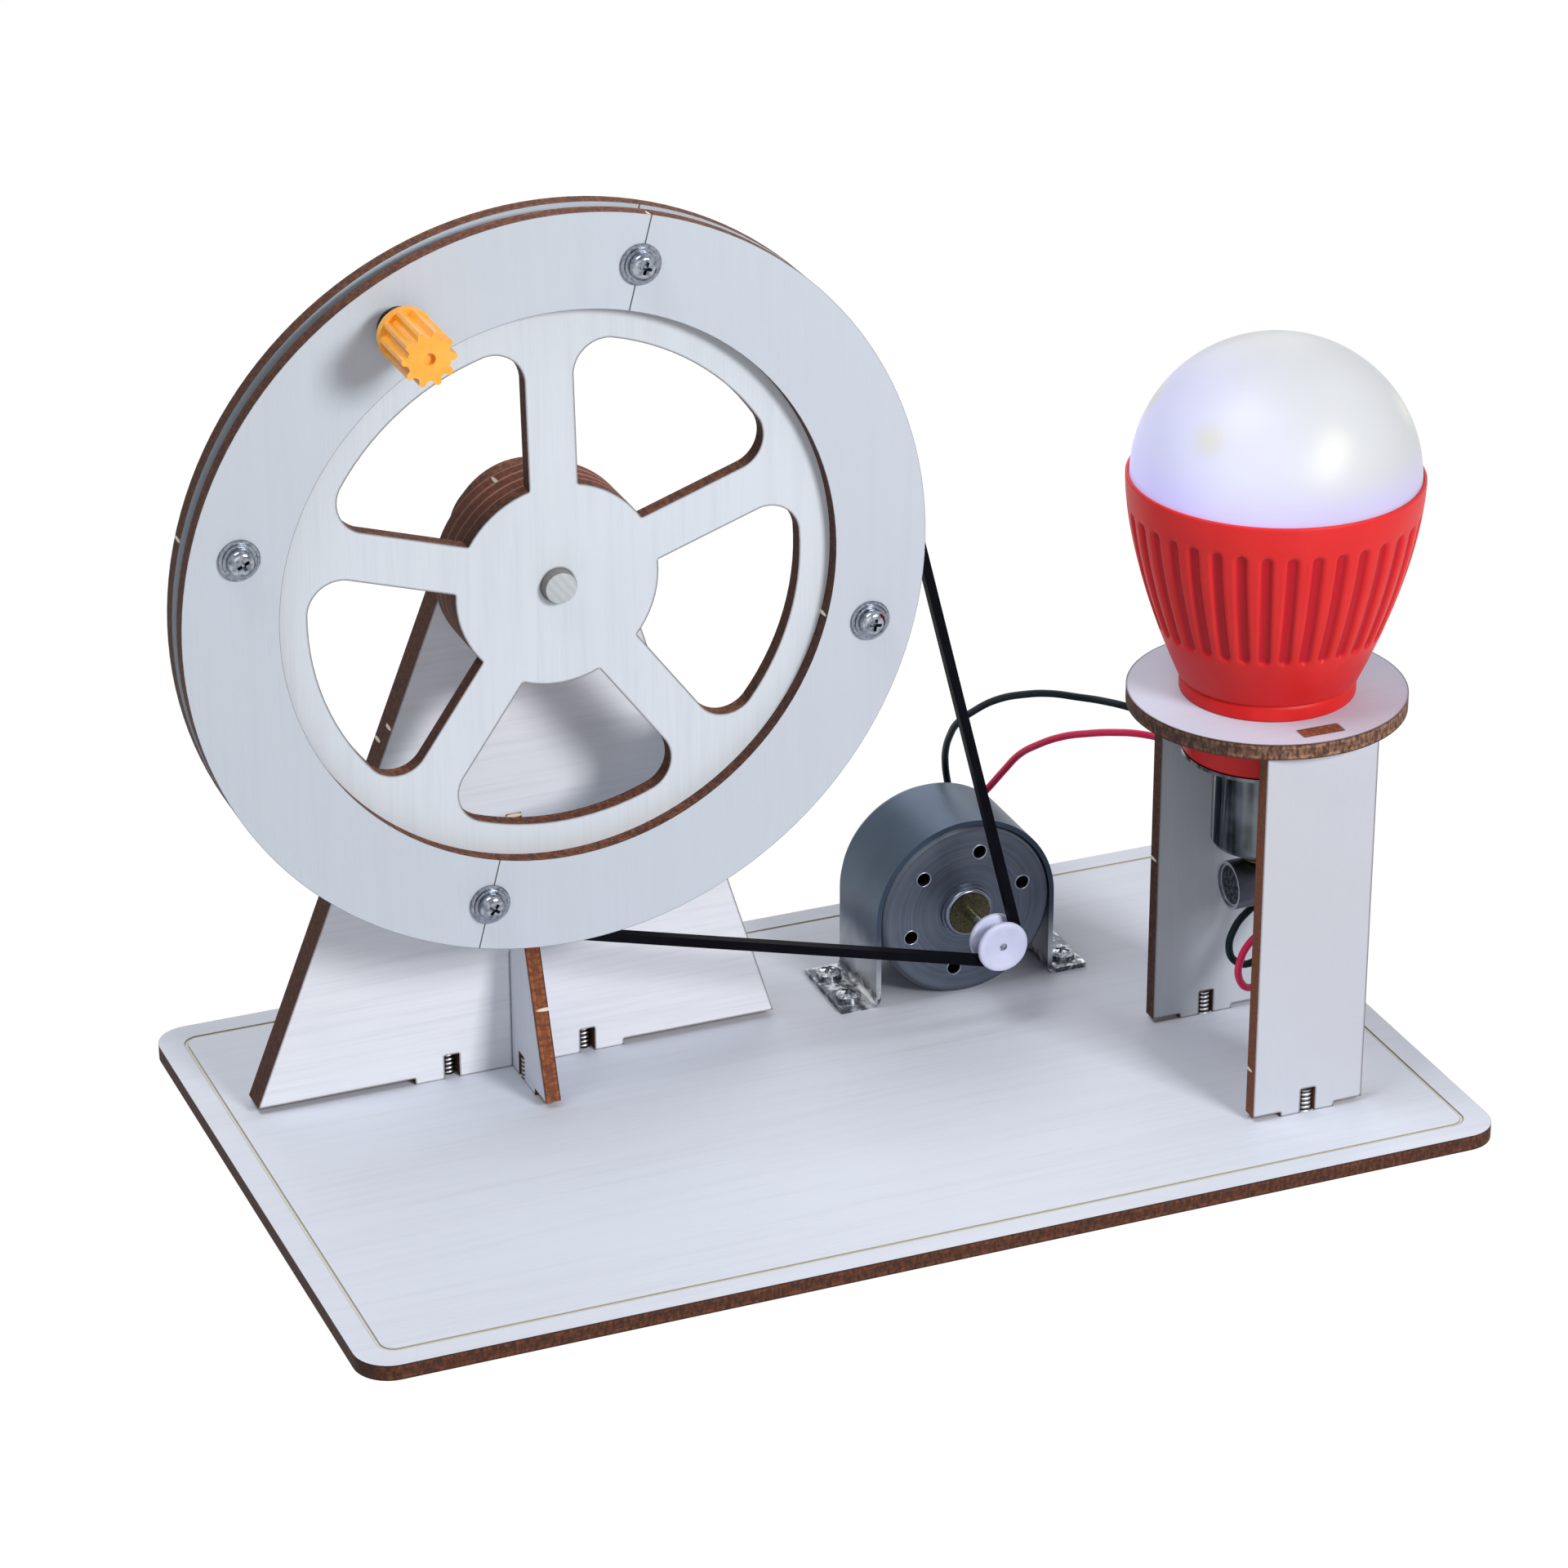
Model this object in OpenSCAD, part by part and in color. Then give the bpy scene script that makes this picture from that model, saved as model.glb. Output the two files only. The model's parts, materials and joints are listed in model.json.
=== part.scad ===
// Hand crank generator, a classroom kit of laser-cut plywood.
// A layered flywheel turned by hand drives a small dynamo through a rubber belt.
// The dynamo lights the lamp beside it.
// X runs along the board's long side, Y away from the viewer and Z up.
// The origin lies under the board's middle.
// Lengths are in millimetres and angles in degrees.

/* [Sheet] */
// Thickness of the plywood sheet that every plate is cut from
ply_t = 2.7; // [2.4:0.1:3.2]
// Play between plates that slot together
slot_play = 0.05; // [0.03:0.01:0.10]
// Play round a screw in its hole
screw_play = 0.05; // [0.03:0.01:0.10]
// Radial play of an axle or shaft in its bearing
run_play = 0.05; // [0.02:0.01:0.09]
// Gap between pieces that turn past each other
run_gap = 0.35; // [0.25:0.05:0.60]

/* [Base board] */
// Length of the board along X
base_l = 200; // [190:1:230]
// Width of the board along Y
base_w = 120; // [112:1:140]
// Radius of the board's corners
base_corner_r = 6; // [3:0.5:10]
// Distance of the engraved border line from the board's edge
border_inset = 4.2; // [3:0.1:6]
// Width of the engraved border line
border_w = 0.6; // [0.4:0.1:1.2]
// Depth of the engraved border line
border_depth = 0.25; // [0.1:0.05:0.6]
// Corner radius of the engraved border line
border_corner_r = 3; // [2:0.5:5]

/* [Floor screws] */
// Radius of the screws that hold the upright plates from below
floor_screw_r = 1.3; // [1.1:0.05:1.5]
// Radius of their countersunk heads
floor_head_r = 2.6; // [2.2:0.1:3]
// Height of their countersunk heads
floor_head_h = 1.5; // [1.2:0.1:1.8]
// How far they reach up into the plates
floor_screw_rise = 4; // [3:0.1:5]
// Height of the open slots that take them
screw_slot_h = 4.5; // [4.2:0.1:6]
// How far a plate's outer bottom edges stand off the board
foot_lift = 1.2; // [0.6:0.1:2]

/* [Flywheel] */
// Distance of the wheel's axle from the board's left end
axle_inset = 57.5; // [54:0.5:62]
// Height of the wheel's axle
wheel_z = 99.4; // [92:0.1:110]
// Outer radius of the two rim rings
wheel_r = 63.2; // [60:0.1:66]
// Width of the two rim rings
ring_w = 15.9; // [14:0.1:18]
// Depth of the belt groove between the two rings
groove_depth = 3.2; // [2.6:0.1:4]
// Width of the disc's face between the rings and the windows
window_rim = 5.4; // [4:0.1:8]
// Radius of the windows' outer corners
window_corner_r = 5.5; // [3:0.1:7]
// Radius of the hub and of the spacer discs behind it
hub_r = 17.3; // [14:0.1:20]
// Width of a spoke
spoke_w = 8.2; // [6:0.1:11]
// Number of spokes
spoke_n = 5; // [3:1:6]
// Direction of the first spoke
spoke_phase = 19; // [0:1:71]
// Gap at the butt joint of the two halves of a rim ring
seam_gap = 0.1; // [0.05:0.05:0.3]
// How far the rim screws and the crank sit inside the floor of the belt groove
rim_inset = 4.9; // [4:0.1:6]
// Direction of the first of the four rim screws
rim_screw_phase = 75.3; // [60:0.1:90]
// Direction of the crank handle
crank_angle = 118.3; // [110:0.1:130]

/* [Axle] */
// Radius of the wooden axle
axle_r = 2.8; // [2:0.1:3.5]
// How far the axle's front end lies back from the hub's face
axle_recess = 0.7; // [0.2:0.1:1.5]
// How far the axle's back end stands out of its retaining disc
axle_tail = 0.8; // [0.3:0.1:2]
// Radius of the retaining disc on the axle's back end
retainer_r = 9; // [6:0.5:12]
// Radius of the fixed spacer discs on the stand
stand_spacer_r = 11.5; // [8:0.5:13]

/* [Wheel stand] */
// Place of the stand's front face along Y
stand_y = 24.4; // [23:0.1:28]
// How far the middle of the stand's foot lies left of the axle
foot_shift = 2; // [0:0.5:6]
// Gap between the stand's foot and the motor's strap
stand_strap_gap = 11.2; // [8:0.1:20]
// Width of the part of the foot that stands on the board
stand_pad_w = 37.8; // [34:0.1:44]
// Radius of the stand's round top
stand_top_r = 12.5; // [11:0.5:16]
// How far the middle of the round top lies right of the axle
top_shift = 2.5; // [0:0.1:4]
// Distance between the two screws of the stand's foot
stand_screw_gap = 24.6; // [20:0.1:28]
// How far the brace reaches out of the stand, to the front and to the back
brace_reach = 16.7; // [15:0.1:20]
// Height at which the brace runs out on the stand
brace_h = 48; // [40:1:52]
// Height of the halving joint between stand and brace
lap_h = 22; // [16:1:28]
// Length of the brace's bottom that stands on the board on each side
brace_pad = 11.2; // [10:0.1:13]
// Distance of the brace's screws from the stand
brace_screw_off = 4.6; // [4.5:0.1:7]

/* [Rim screws] */
// Radius of the machine screws
rim_screw_r = 1.5; // [1.2:0.05:1.7]
// Radius of their pan heads
pan_head_r = 2.8; // [2.4:0.1:3.2]
// Height of their pan heads
pan_head_h = 2; // [1.4:0.1:2.4]
// Radius of their washers
washer_r = 3.4; // [3.3:0.1:4]
// Thickness of their washers
washer_t = 0.6; // [0.4:0.1:1]
// Width of the nuts across the corners
nut_w = 6.2; // [5.4:0.1:6.8]
// Thickness of the nuts
nut_t = 2.4; // [1.8:0.1:2.6]
// Length of thread that shows beyond a nut
thread_tail = 0.8; // [0.4:0.1:1.2]

/* [Crank handle] */
// Length of the handle
handle_l = 11.2; // [9:0.1:16]
// Radius of the handle over its teeth
handle_tip_r = 4.5; // [4:0.1:6]
// Radius of the handle between its teeth
handle_root_r = 3.5; // [3.2:0.1:3.9]
// Number of teeth along the handle
handle_teeth = 10; // [8:1:12]
// Radius of the recess in the handle's tip
handle_recess_r = 2.7; // [2.6:0.1:2.9]
// Depth of the recess in the handle's tip
handle_recess = 1.7; // [1.5:0.1:2.2]
// Radius of the clip that keeps the handle on its screw
clip_r = 2.3; // [2.1:0.1:2.4]
// Thickness of that clip
clip_t = 0.8; // [0.5:0.1:0.9]
// How far the crank screw's end lies inside the handle's tip
crank_end_inset = 0.4; // [0.2:0.1:0.5]

/* [Belt and pulley] */
// Thickness of the belt, measured outwards from the wheel
belt_t = 1.6; // [1.2:0.1:1.8]
// Width of the belt along Y
belt_w = 1.8; // [1.4:0.1:2]
// Gap between the belt and the floors of the grooves
belt_gap = 0.3; // [0.2:0.05:0.5]
// Radius of the pulley between its flanges
pulley_core_r = 2.5; // [2.2:0.1:3]
// Radius of the pulley's flanges
pulley_r = 4.6; // [4.5:0.1:5.5]
// Thickness of a pulley flange
pulley_flange_t = 1.2; // [0.8:0.1:2]

/* [Motor] */
// Distance of the motor's shaft from the board's right end
motor_inset = 63; // [58:0.1:66]
// Radius of the motor's can
motor_r = 16; // [15:0.1:17]
// Length of the motor's can
motor_l = 18.7; // [17:0.1:20]
// Place of the motor's front face along Y
motor_y = 19.9; // [18.5:0.1:22]
// Wall of the can
can_wall = 0.8; // [0.6:0.1:1]
// Chamfer on the can's front edge
can_chamfer = 0.7; // [0.3:0.1:1.2]
// Radius of the circle of vent holes
vent_circle_r = 11.1; // [10:0.1:12]
// Radius of a vent hole
vent_r = 1.2; // [0.8:0.1:1.5]
// Number of vent holes
vent_n = 6; // [4:1:8]
// Direction of the first vent hole
vent_phase = 18; // [0:1:59]
// Radius of the raised ring round the bearing
boss_r = 4.9; // [4.5:0.1:6]
// Height of the raised ring round the bearing
boss_h = 0.6; // [0.4:0.1:0.9]
// Radius of the bearings
bearing_r = 3.8; // [3:0.1:4]
// How far the front bearing stands out of the face
bearing_nose = 1.5; // [1:0.1:2]
// Length of a bearing inside the can
bearing_l = 2.2; // [1.6:0.1:2.4]
// Radius of the motor's shaft
shaft_r = 1; // [0.75:0.05:1.2]
// Thickness of the end cap
end_cap_t = 2.2; // [1.8:0.1:2.6]
// Thickness of a field magnet
magnet_t = 3.4; // [2.6:0.1:3.6]
// Length of the magnets
magnet_l = 9; // [7:0.1:10]
// Angle that each magnet spans
magnet_angle = 120; // [100:5:140]
// Air gap between magnets and armature
air_gap = 0.5; // [0.35:0.05:0.8]
// Length of the armature's iron core
core_l = 7; // [5:0.1:8]
// Number of armature poles
pole_n = 3; // [3:1:3]
// Radius of the commutator
commutator_r = 2.4; // [2:0.1:2.8]
// Length of the commutator
commutator_l = 2.4; // [1.8:0.1:2.6]
// Thickness of a brush spring
brush_t = 0.4; // [0.3:0.05:0.6]
// Radius at which the solder tags stand
tag_circle_r = 10; // [9:0.1:11]
// Direction of the pair of solder tags
tag_angle = 20; // [0:1:40]
// Distance between the two solder tags
tag_gap = 9; // [7:0.1:10]
// Width of a solder tag
tag_w = 2.2; // [1.6:0.1:2.6]
// Thickness of a solder tag
tag_t = 0.5; // [0.3:0.1:0.8]
// How far a solder tag stands out
tag_l = 2.8; // [2:0.1:3.5]

/* [Motor strap] */
// Thickness of the strap's sheet metal
strap_t = 0.9; // [0.6:0.1:1.2]
// Width of the strap along Y
strap_w = 16.6; // [14:0.1:17]
// Distance of the strap's front edge behind the motor's face
strap_inset = 0.3; // [0.1:0.1:1]
// Length of each foot of the strap
strap_foot = 6.6; // [6.4:0.1:8]
// Inner radius of the strap's bends
strap_bend_r = 0.8; // [0.5:0.1:1]
// Gap between strap and can
strap_play = 0.05; // [0.03:0.01:0.10]
// Radius of the strap's screws
strap_screw_r = 1.2; // [1:0.05:1.4]
// Radius of the heads of the strap's screws
strap_head_r = 2.2; // [1.8:0.1:2.3]
// Height of the heads of the strap's screws
strap_head_h = 1.5; // [1:0.1:1.8]
// How far the strap's screws reach into the board
strap_screw_bite = 2.2; // [1.6:0.1:2.3]
// Distance between the two screws of one foot
strap_screw_gap = 9; // [7:0.1:11]

/* [Lamp stand] */
// Distance of the lamp's axis from the board's right end
lamp_inset = 27.7; // [26:0.1:30]
// Place of the lamp's axis along Y
lamp_y = -21.5; // [-24:0.1:-20]
// Width of a leg
leg_w = 20.4; // [18:0.1:24]
// Height of a leg up to the lamp plate
leg_h = 67.4; // [64:0.1:72]
// Distance between the middles of the two legs
leg_gap = 38.2; // [37:0.1:40]
// Width of the part of a leg's foot that stands on the board
leg_pad_w = 10; // [8:0.1:14]
// How far a leg's outer bottom edges stand off the board
leg_lift = 0.9; // [0.5:0.1:1.5]
// Width of a leg's tab through the lamp plate
tab_w = 7.2; // [5:0.1:9]
// Radius of the round lamp plate
lamp_plate_r = 23.4; // [23:0.1:26]

/* [Bulb] */
// Radius of the bulb's neck in the lamp plate
neck_r = 14; // [13:0.1:15]
// Play of the neck in the lamp plate
neck_play = 0.1; // [0.05:0.05:0.3]
// Length of the neck below the lamp plate
neck_drop = 8.1; // [6:0.1:10]
// Radius of the collar that sits on the lamp plate
collar_r = 14.7; // [14.4:0.1:15.5]
// Height of the collar's straight side
collar_h = 1.6; // [1:0.1:2]
// Height of the whole collar, up to the flared body
shoulder_h = 3.2; // [2.4:0.1:5]
// Radius of the flared body's foot
flare_foot_r = 15.9; // [15.6:0.1:16.5]
// Height of the flared body
flare_h = 34.4; // [32:0.1:37]
// Largest radius of the flared body
flare_r = 24.5; // [23.5:0.1:26]
// Bend of the flared body's outline, where 1 is a straight cone
flare_curve = 0.66; // [0.55:0.01:0.80]
// Height of the lip round the dome
lip_h = 0.6; // [0.3:0.1:1]
// Thickness of the lip round the dome
lip_t = 0.6; // [0.5:0.1:0.9]
// Wall of the bulb's body
bulb_wall = 1.8; // [1.4:0.1:2.2]
// Number of cooling grooves round the body
rib_n = 34; // [24:1:40]
// Width of a cooling groove
rib_groove_w = 2; // [1:0.1:2.2]
// Depth of a cooling groove
rib_groove_d = 0.9; // [0.5:0.1:1]
// Height of the lower end of the grooves above the flared body's foot
rib_low = 10; // [8:0.1:12]
// Distance of the upper end of the grooves below the top of the body
rib_high = 4.4; // [2:0.1:6]
// Height of the dome
dome_h = 22.9; // [18:0.1:26]
// Wall of the dome
dome_wall = 1.2; // [0.8:0.1:1.6]
// Thickness of the light board under the dome
led_board_t = 1.6; // [1:0.1:2]
// Size of one light chip
led_size = 3.5; // [2.5:0.1:5]
// Height of one light chip
led_h = 0.8; // [0.5:0.1:1.2]
// Number of light chips
led_n = 6; // [4:1:8]
// Radius of the circle of light chips
led_circle_r = 12; // [9:0.1:15]

/* [Bulb cap] */
// Radius of the metal cap
cap_r = 8.5; // [7.5:0.1:9]
// Length of the metal cap
cap_l = 17.4; // [16:0.1:20]
// Wall of the metal cap
cap_wall = 0.6; // [0.4:0.1:1]
// Length of the insulator below the cap
insulator_l = 2.2; // [1.5:0.1:3]
// Radius of the insulator's lower end
insulator_tip_r = 4.4; // [4:0.1:5]
// Radius of the centre contact
contact_r = 3.4; // [2.6:0.1:3.8]
// Height of the centre contact
contact_l = 1.2; // [0.8:0.1:2]
// Radius of the two feed wires inside the bulb
feed_r = 0.5; // [0.4:0.1:0.8]
// Distance of the feed wires from the bulb's axis
feed_off = 3; // [2:0.1:3.2]

/* [Capacitor] */
// Radius of the smoothing capacitor
capacitor_r = 4.2; // [3.5:0.1:5]
// Length of the smoothing capacitor
capacitor_l = 13.6; // [11:0.1:14]
// Distance of its left end from the lamp's axis
capacitor_left = 5.8; // [5:0.1:7]
// Depth of the sunk end face
capacitor_sink = 0.5; // [0.2:0.1:1]
// Thickness of its rubber seal
seal_t = 1.4; // [1:0.1:2]
// Distance between its leads
lead_gap = 3.6; // [3:0.1:4.4]
// Radius of its leads
lead_r = 0.35; // [0.25:0.05:0.45]
// Length of the leads before their bend
lead_run = 2.4; // [2:0.1:3]
// Radius of a solder bead
solder_r = 1.1; // [0.9:0.1:1.2]

/* [Wires] */
// Outer radius of the two wires
wire_r = 0.65; // [0.5:0.05:0.8]

/* [Hidden] */
$fn = 64;
// How far a cutter runs past the piece it cuts
cut = 1;
// How far a straight edge dips into the arc it runs into, so that the two cross cleanly
blend = 0.02;
// Number of sides of a wire's tube
wire_sides = 8;
// Steps along the bulb's curved outline and along one of its grooves
profile_steps = 12;
groove_steps = 6;
// Sizes of a screw head's dome and cross recess as shares of the head
head_dome = 0.45;
cross_length = 1.2;
cross_width = 0.32;
cross_depth = 0.45;
// Angles of a handle tooth's foot and crown as shares of the pitch
tooth_foot = 0.32;
tooth_crown = 0.14;
// Chamfer of the pulley's flanges
pulley_chamfer = 0.3;
// Sizes inside the motor as multiples of the shaft's radius
core_hub = 3;
core_neck = 2.4;
core_shoe = 1.6;
coil_side = 2;
coil_inner = 3.6;
// Half angle of a pole shoe as a share of the pole pitch
shoe_share = 0.4;
// Sleeve of the capacitor as a share of its radius
sleeve_share = 0.1;
ply_colour = [0.86, 0.88, 0.91];
burnt_colour = [0.60, 0.45, 0.34];
steel_colour = [0.72, 0.74, 0.76];
dark_steel_colour = [0.36, 0.40, 0.44];
brass_colour = [0.80, 0.62, 0.30];
copper_colour = [0.72, 0.40, 0.20];
rubber_colour = [0.08, 0.08, 0.10];
pulley_colour = [0.86, 0.86, 0.95];
handle_colour = [1.00, 0.66, 0.18];
bulb_red = [0.78, 0.10, 0.12];
dome_colour = [0.95, 0.93, 1.00];
dark_colour = [0.15, 0.15, 0.17];
wood_colour = [0.78, 0.78, 0.76];
red_wire_colour = [0.82, 0.10, 0.16];

// Places along the board
board_end_x = base_l / 2;
wheel_x = axle_inset - board_end_x;
stand_foot_x = wheel_x - foot_shift;
motor_x = board_end_x - motor_inset;
lamp_x = board_end_x - lamp_inset;

// Radii of the wheel
ring_inner_r = wheel_r - ring_w;
disc_r = wheel_r - groove_depth;
window_r = ring_inner_r - window_rim;
rim_hole_r = disc_r - rim_inset;

// Depth of the stand and the layers of the wheel in front of it
stand_plates = 2;
hub_spacer_n = 3;
stand_spacer_n = 3;
stand_back_y = stand_y + stand_plates * ply_t;
stand_spacer_y = stand_y - stand_spacer_n * ply_t;
hub_spacer_y = stand_spacer_y - run_gap - hub_spacer_n * ply_t;
disc_y = hub_spacer_y - ply_t;
front_ring_y = disc_y - ply_t;
back_ring_y = disc_y + ply_t;
wheel_back_y = back_ring_y + ply_t;
groove_y = disc_y + ply_t / 2;
retainer_y = stand_back_y + run_gap;
axle_y = disc_y + axle_recess;
axle_l = retainer_y + ply_t + axle_tail - axle_y;
axle_hole_r = axle_r + run_play;
axle_seat_r = axle_r + slot_play;
rim_hole_play_r = rim_screw_r + screw_play;

// Stand and brace
stand_foot_z = ply_t + foot_lift;
lap_z = ply_t + lap_h;
brace_front_y = stand_y - brace_reach;
brace_back_y = stand_back_y + brace_reach;
brace_top_z = ply_t + brace_h;
screw_slot_w = 2 * (floor_screw_r + screw_play);
stand_mid_y = (stand_y + stand_back_y) / 2;

// Crank on the rim
crank_x = wheel_x + rim_hole_r * cos(crank_angle);
crank_z = wheel_z + rim_hole_r * sin(crank_angle);
crank_nut_y = front_ring_y - washer_t - nut_t;
handle_back_y = crank_nut_y - run_gap;
handle_tip_y = handle_back_y - handle_l;
crank_end_y = handle_tip_y + crank_end_inset;
clip_y = handle_tip_y + handle_recess - run_gap - clip_t;
handle_bore_r = rim_screw_r + run_play;

// Motor and belt drive
motor_z = ply_t + motor_r + strap_play;
motor_back_y = motor_y + motor_l;
end_cap_y = motor_back_y - end_cap_t;
can_inner_r = motor_r - can_wall;
magnet_outer_r = can_inner_r - strap_play;
armature_r = magnet_outer_r - magnet_t - air_gap;
inner_length = motor_l - can_wall - end_cap_t;
core_y = motor_y + can_wall + (inner_length - commutator_l - core_l) / 2;
commutator_y = end_cap_y - commutator_l - run_gap;
magnet_y = core_y + (core_l - magnet_l) / 2;
pulley_w = belt_w + 2 * belt_gap + 2 * pulley_flange_t;
pulley_y = groove_y - pulley_w / 2;
shaft_y = pulley_y + pulley_flange_t / 2;
shaft_l = motor_back_y - shaft_y - end_cap_t / 4;
wheel_belt_r = disc_r + belt_gap + belt_t / 2;
pulley_belt_r = pulley_core_r + belt_gap + belt_t / 2;
belt_y = groove_y - belt_w / 2;

// Strap
strap_y = motor_y + strap_inset;
strap_inner_r = motor_r + strap_play;
strap_outer_r = strap_inner_r + strap_t;
strap_foot_x = strap_outer_r + strap_bend_r;
stand_right_x = motor_x - strap_outer_r - strap_foot - stand_strap_gap;
stand_foot_w = 2 * (stand_right_x - stand_foot_x);
strap_screw_x = strap_outer_r + (strap_foot + strap_bend_r) / 2;

// Lamp heights
plate_z = ply_t + leg_h;
plate_top_z = plate_z + ply_t;
neck_z = plate_z - neck_drop;
flare_z = plate_top_z + shoulder_h;
flare_top_z = flare_z + flare_h;
led_board_r = flare(1 - led_board_t / flare_h) - bulb_wall - slot_play;
dome_r = flare_r - lip_t - slot_play;
led_board_z = flare_top_z - led_board_t;
cap_z = neck_z - cap_l;
insulator_z = cap_z - insulator_l;
insulator_top_z = cap_z + 2 * cap_wall;
contact_z = insulator_z - contact_l;
capacitor_x = lamp_x - capacitor_left;
capacitor_z = contact_z - slot_play - capacitor_r;
capacitor_end_x = capacitor_x + capacitor_l;
capacitor_sleeve = sleeve_share * capacitor_r;
lead_bend_x = capacitor_end_x + lead_run;
front_lead_y = lamp_y - lead_gap / 2;
back_lead_y = lamp_y + lead_gap / 2;
bead_x = (capacitor_end_x + lead_bend_x) / 2;

// Places of the screws driven up through the board
stand_screw_places = [for (s = [-1, 1]) [stand_foot_x + s * stand_screw_gap / 2, stand_mid_y]];
brace_screw_places = [
    [stand_foot_x, stand_y - brace_screw_off],
    [stand_foot_x, stand_back_y + brace_screw_off]];
leg_screw_places = [for (s = [-1, 1]) [lamp_x, lamp_y + s * leg_gap / 2]];
floor_screw_places = concat(stand_screw_places, brace_screw_places, leg_screw_places);
strap_screw_places = [for (sx = [-1, 1], sy = [-1, 1])
    [motor_x + sx * strap_screw_x, strap_y + strap_w / 2 + sy * strap_screw_gap / 2]];

// Places of the solder tags on the motor's end cap
tag_places = [for (s = [1, -1])
    [motor_x + tag_circle_r * cos(tag_angle) - s * tag_gap / 2 * sin(tag_angle),
     motor_z + tag_circle_r * sin(tag_angle) + s * tag_gap / 2 * cos(tag_angle)]];
tag_end_y = motor_back_y + tag_l;

// Route of the black wire, from the upper solder tag up and over to the lamp, X from the board's right end
black_points = [
    [-55.1, 41.1, 26.4], [-55.1, 43.2, 27.2], [-55.2, 44.9, 28.9], [-55.5, 45.7, 31.6],
    [-56.1, 45.2, 35], [-56.8, 43.4, 38.6], [-57.2, 40.8, 42.4], [-57.2, 37.8, 46], [-56, 34, 49.6],
    [-54, 28.6, 53.8], [-51.4, 22, 57.2], [-49, 17, 59], [-46.4, 12, 60], [-43.4, 8, 60.4],
    [-40, 4.8, 60], [-36, 2.6, 58.6], [-31.4, 1.6, 56.4], [-26.4, 1.2, 53.8], [-21.6, 1, 51],
    [-17.4, 0.3, 48], [-15, -2.2, 44.8], [-14.6, -6, 41], [-15.8, -9.8, 36.6], [-18.2, -13, 31.6],
    [-20.6, -15.4, 26.6], [-22.4, -16.6, 22.8], [-24.2, -17.2, 20.2], [-26.8, -17.5, 18.9],
    [-29.4, -17.6, 19.8], [-30.8, -17.6, 22.4], [-30, -17.6, 26.2], [-27.6, -17.6, 29],
    [-24.3, -17.7, 30.8], [-21.2, -18, 32], [-19.2, -18.8, 33.8], [-18.6, -19.7, 36.4]];

// Route of the red wire, from the lower solder tag over to the lamp, with a hanging loop under it
red_points = [
    [-52.1, 41.1, 18], [-52.1, 43.2, 18.8], [-51.8, 44.8, 20.5], [-51.1, 45.4, 23.2],
    [-50, 44.7, 26.6], [-48.4, 42.7, 30], [-46.8, 40.2, 34], [-45.6, 36.8, 38.2], [-44.2, 32, 42],
    [-42.2, 26, 45.8], [-40.2, 20, 48.6], [-38.2, 14, 51], [-35.8, 8, 52.8], [-32.6, 3.8, 52.9],
    [-28.2, 1.7, 51.4], [-23.6, 1, 48.8], [-18.8, 1, 45.2], [-15.8, -0.9, 41.2], [-14.8, -4.8, 37],
    [-15.6, -9, 32.2], [-17.8, -13, 27], [-21.2, -16.8, 21.8], [-25, -20, 17.8], [-28.8, -22, 16.8],
    [-31.4, -22.8, 19.4], [-31.4, -23, 23.2], [-29.4, -23.2, 26.6], [-26, -23.4, 28.6],
    [-22.4, -23.4, 29.8], [-19.6, -23.4, 31.8], [-18.6, -23.4, 34], [-18.6, -23.3, 36.4]];

// The two routes in the board's frame
black_route = [for (p = black_points) p + [board_end_x, 0, 0]];
red_route = [for (p = red_points) p + [board_end_x, 0, 0]];

// Point where a line from p touches the circle of radius r round c, turned from p by side
function touch(p, c, r, side) =
    let (d = p - c, turn = atan2(d[1], d[0]) + side * acos(r / norm(d)))
    c + r * [cos(turn), sin(turn)];

// Outer radius of the bulb's flared body at a share u of its height
function flare(u) = flare_foot_r + (flare_r - flare_foot_r) * pow(u, flare_curve);

// Points of a quarter ellipse with half axes a and b, from its foot to its top
function quarter(a, b) = [for (i = [0 : profile_steps])
    let (turn = 90 * i / profile_steps)
    [a * cos(turn), b * sin(turn)]];

// Unit vector along v
function unit(v) = v / norm(v);

// Direction of a route at its point i
function heading(route, i) =
    unit(route[min(i + 1, len(route) - 1)] - route[max(i - 1, 0)]);

// First side vector of a ring, kept square to the route
function first_side(h) = unit(cross(h, abs(h[0]) < 0.9 ? [1, 0, 0] : [0, 0, 1]));

// Side vectors of all rings, each carried over from the one before without twist
function sides(route, i = 0, side = undef) =
    i == len(route) ? [] :
    let (h = heading(route, i), s = side == undef ? first_side(h) : unit(side - (side * h) * h))
    concat([s], sides(route, i + 1, s));

// A closed tube of radius r along a route
module tube(route, r) {
    first = sides(route);
    last = len(route) - 1;
    points = [for (i = [0 : last], k = [0 : wire_sides - 1])
        let (h = heading(route, i), a = 360 * k / wire_sides)
        route[i] + r * (cos(a) * first[i] + sin(a) * cross(h, first[i]))];
    walls = [for (i = [0 : last - 1], k = [0 : wire_sides - 1], half = [0, 1])
        let (n = (k + 1) % wire_sides, a = i * wire_sides, b = a + wire_sides)
        half == 0 ? [a + k, b + k, b + n] : [a + k, b + n, a + n]];
    foot = last * wire_sides;
    start = [for (k = [1 : wire_sides - 2]) [0, k, k + 1]];
    end = [for (k = [1 : wire_sides - 2]) [foot, foot + k + 1, foot + k]];
    polyhedron(points, concat(walls, start, end));
}

// Lays an outline drawn in X and Z on the plane y0 and gives it thickness t towards the back
module upright(y0, t = ply_t) {
    translate([0, y0 + t, 0]) rotate([90, 0, 0]) linear_extrude(t) children();
}

// A rod along Y from y0
module rod(y0, l, r) {
    translate([0, y0, 0]) rotate([-90, 0, 0]) cylinder(h = l, r = r);
}

// Places a child on the wheel's axis
module on_wheel() {
    translate([wheel_x, 0, wheel_z]) children();
}

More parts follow.
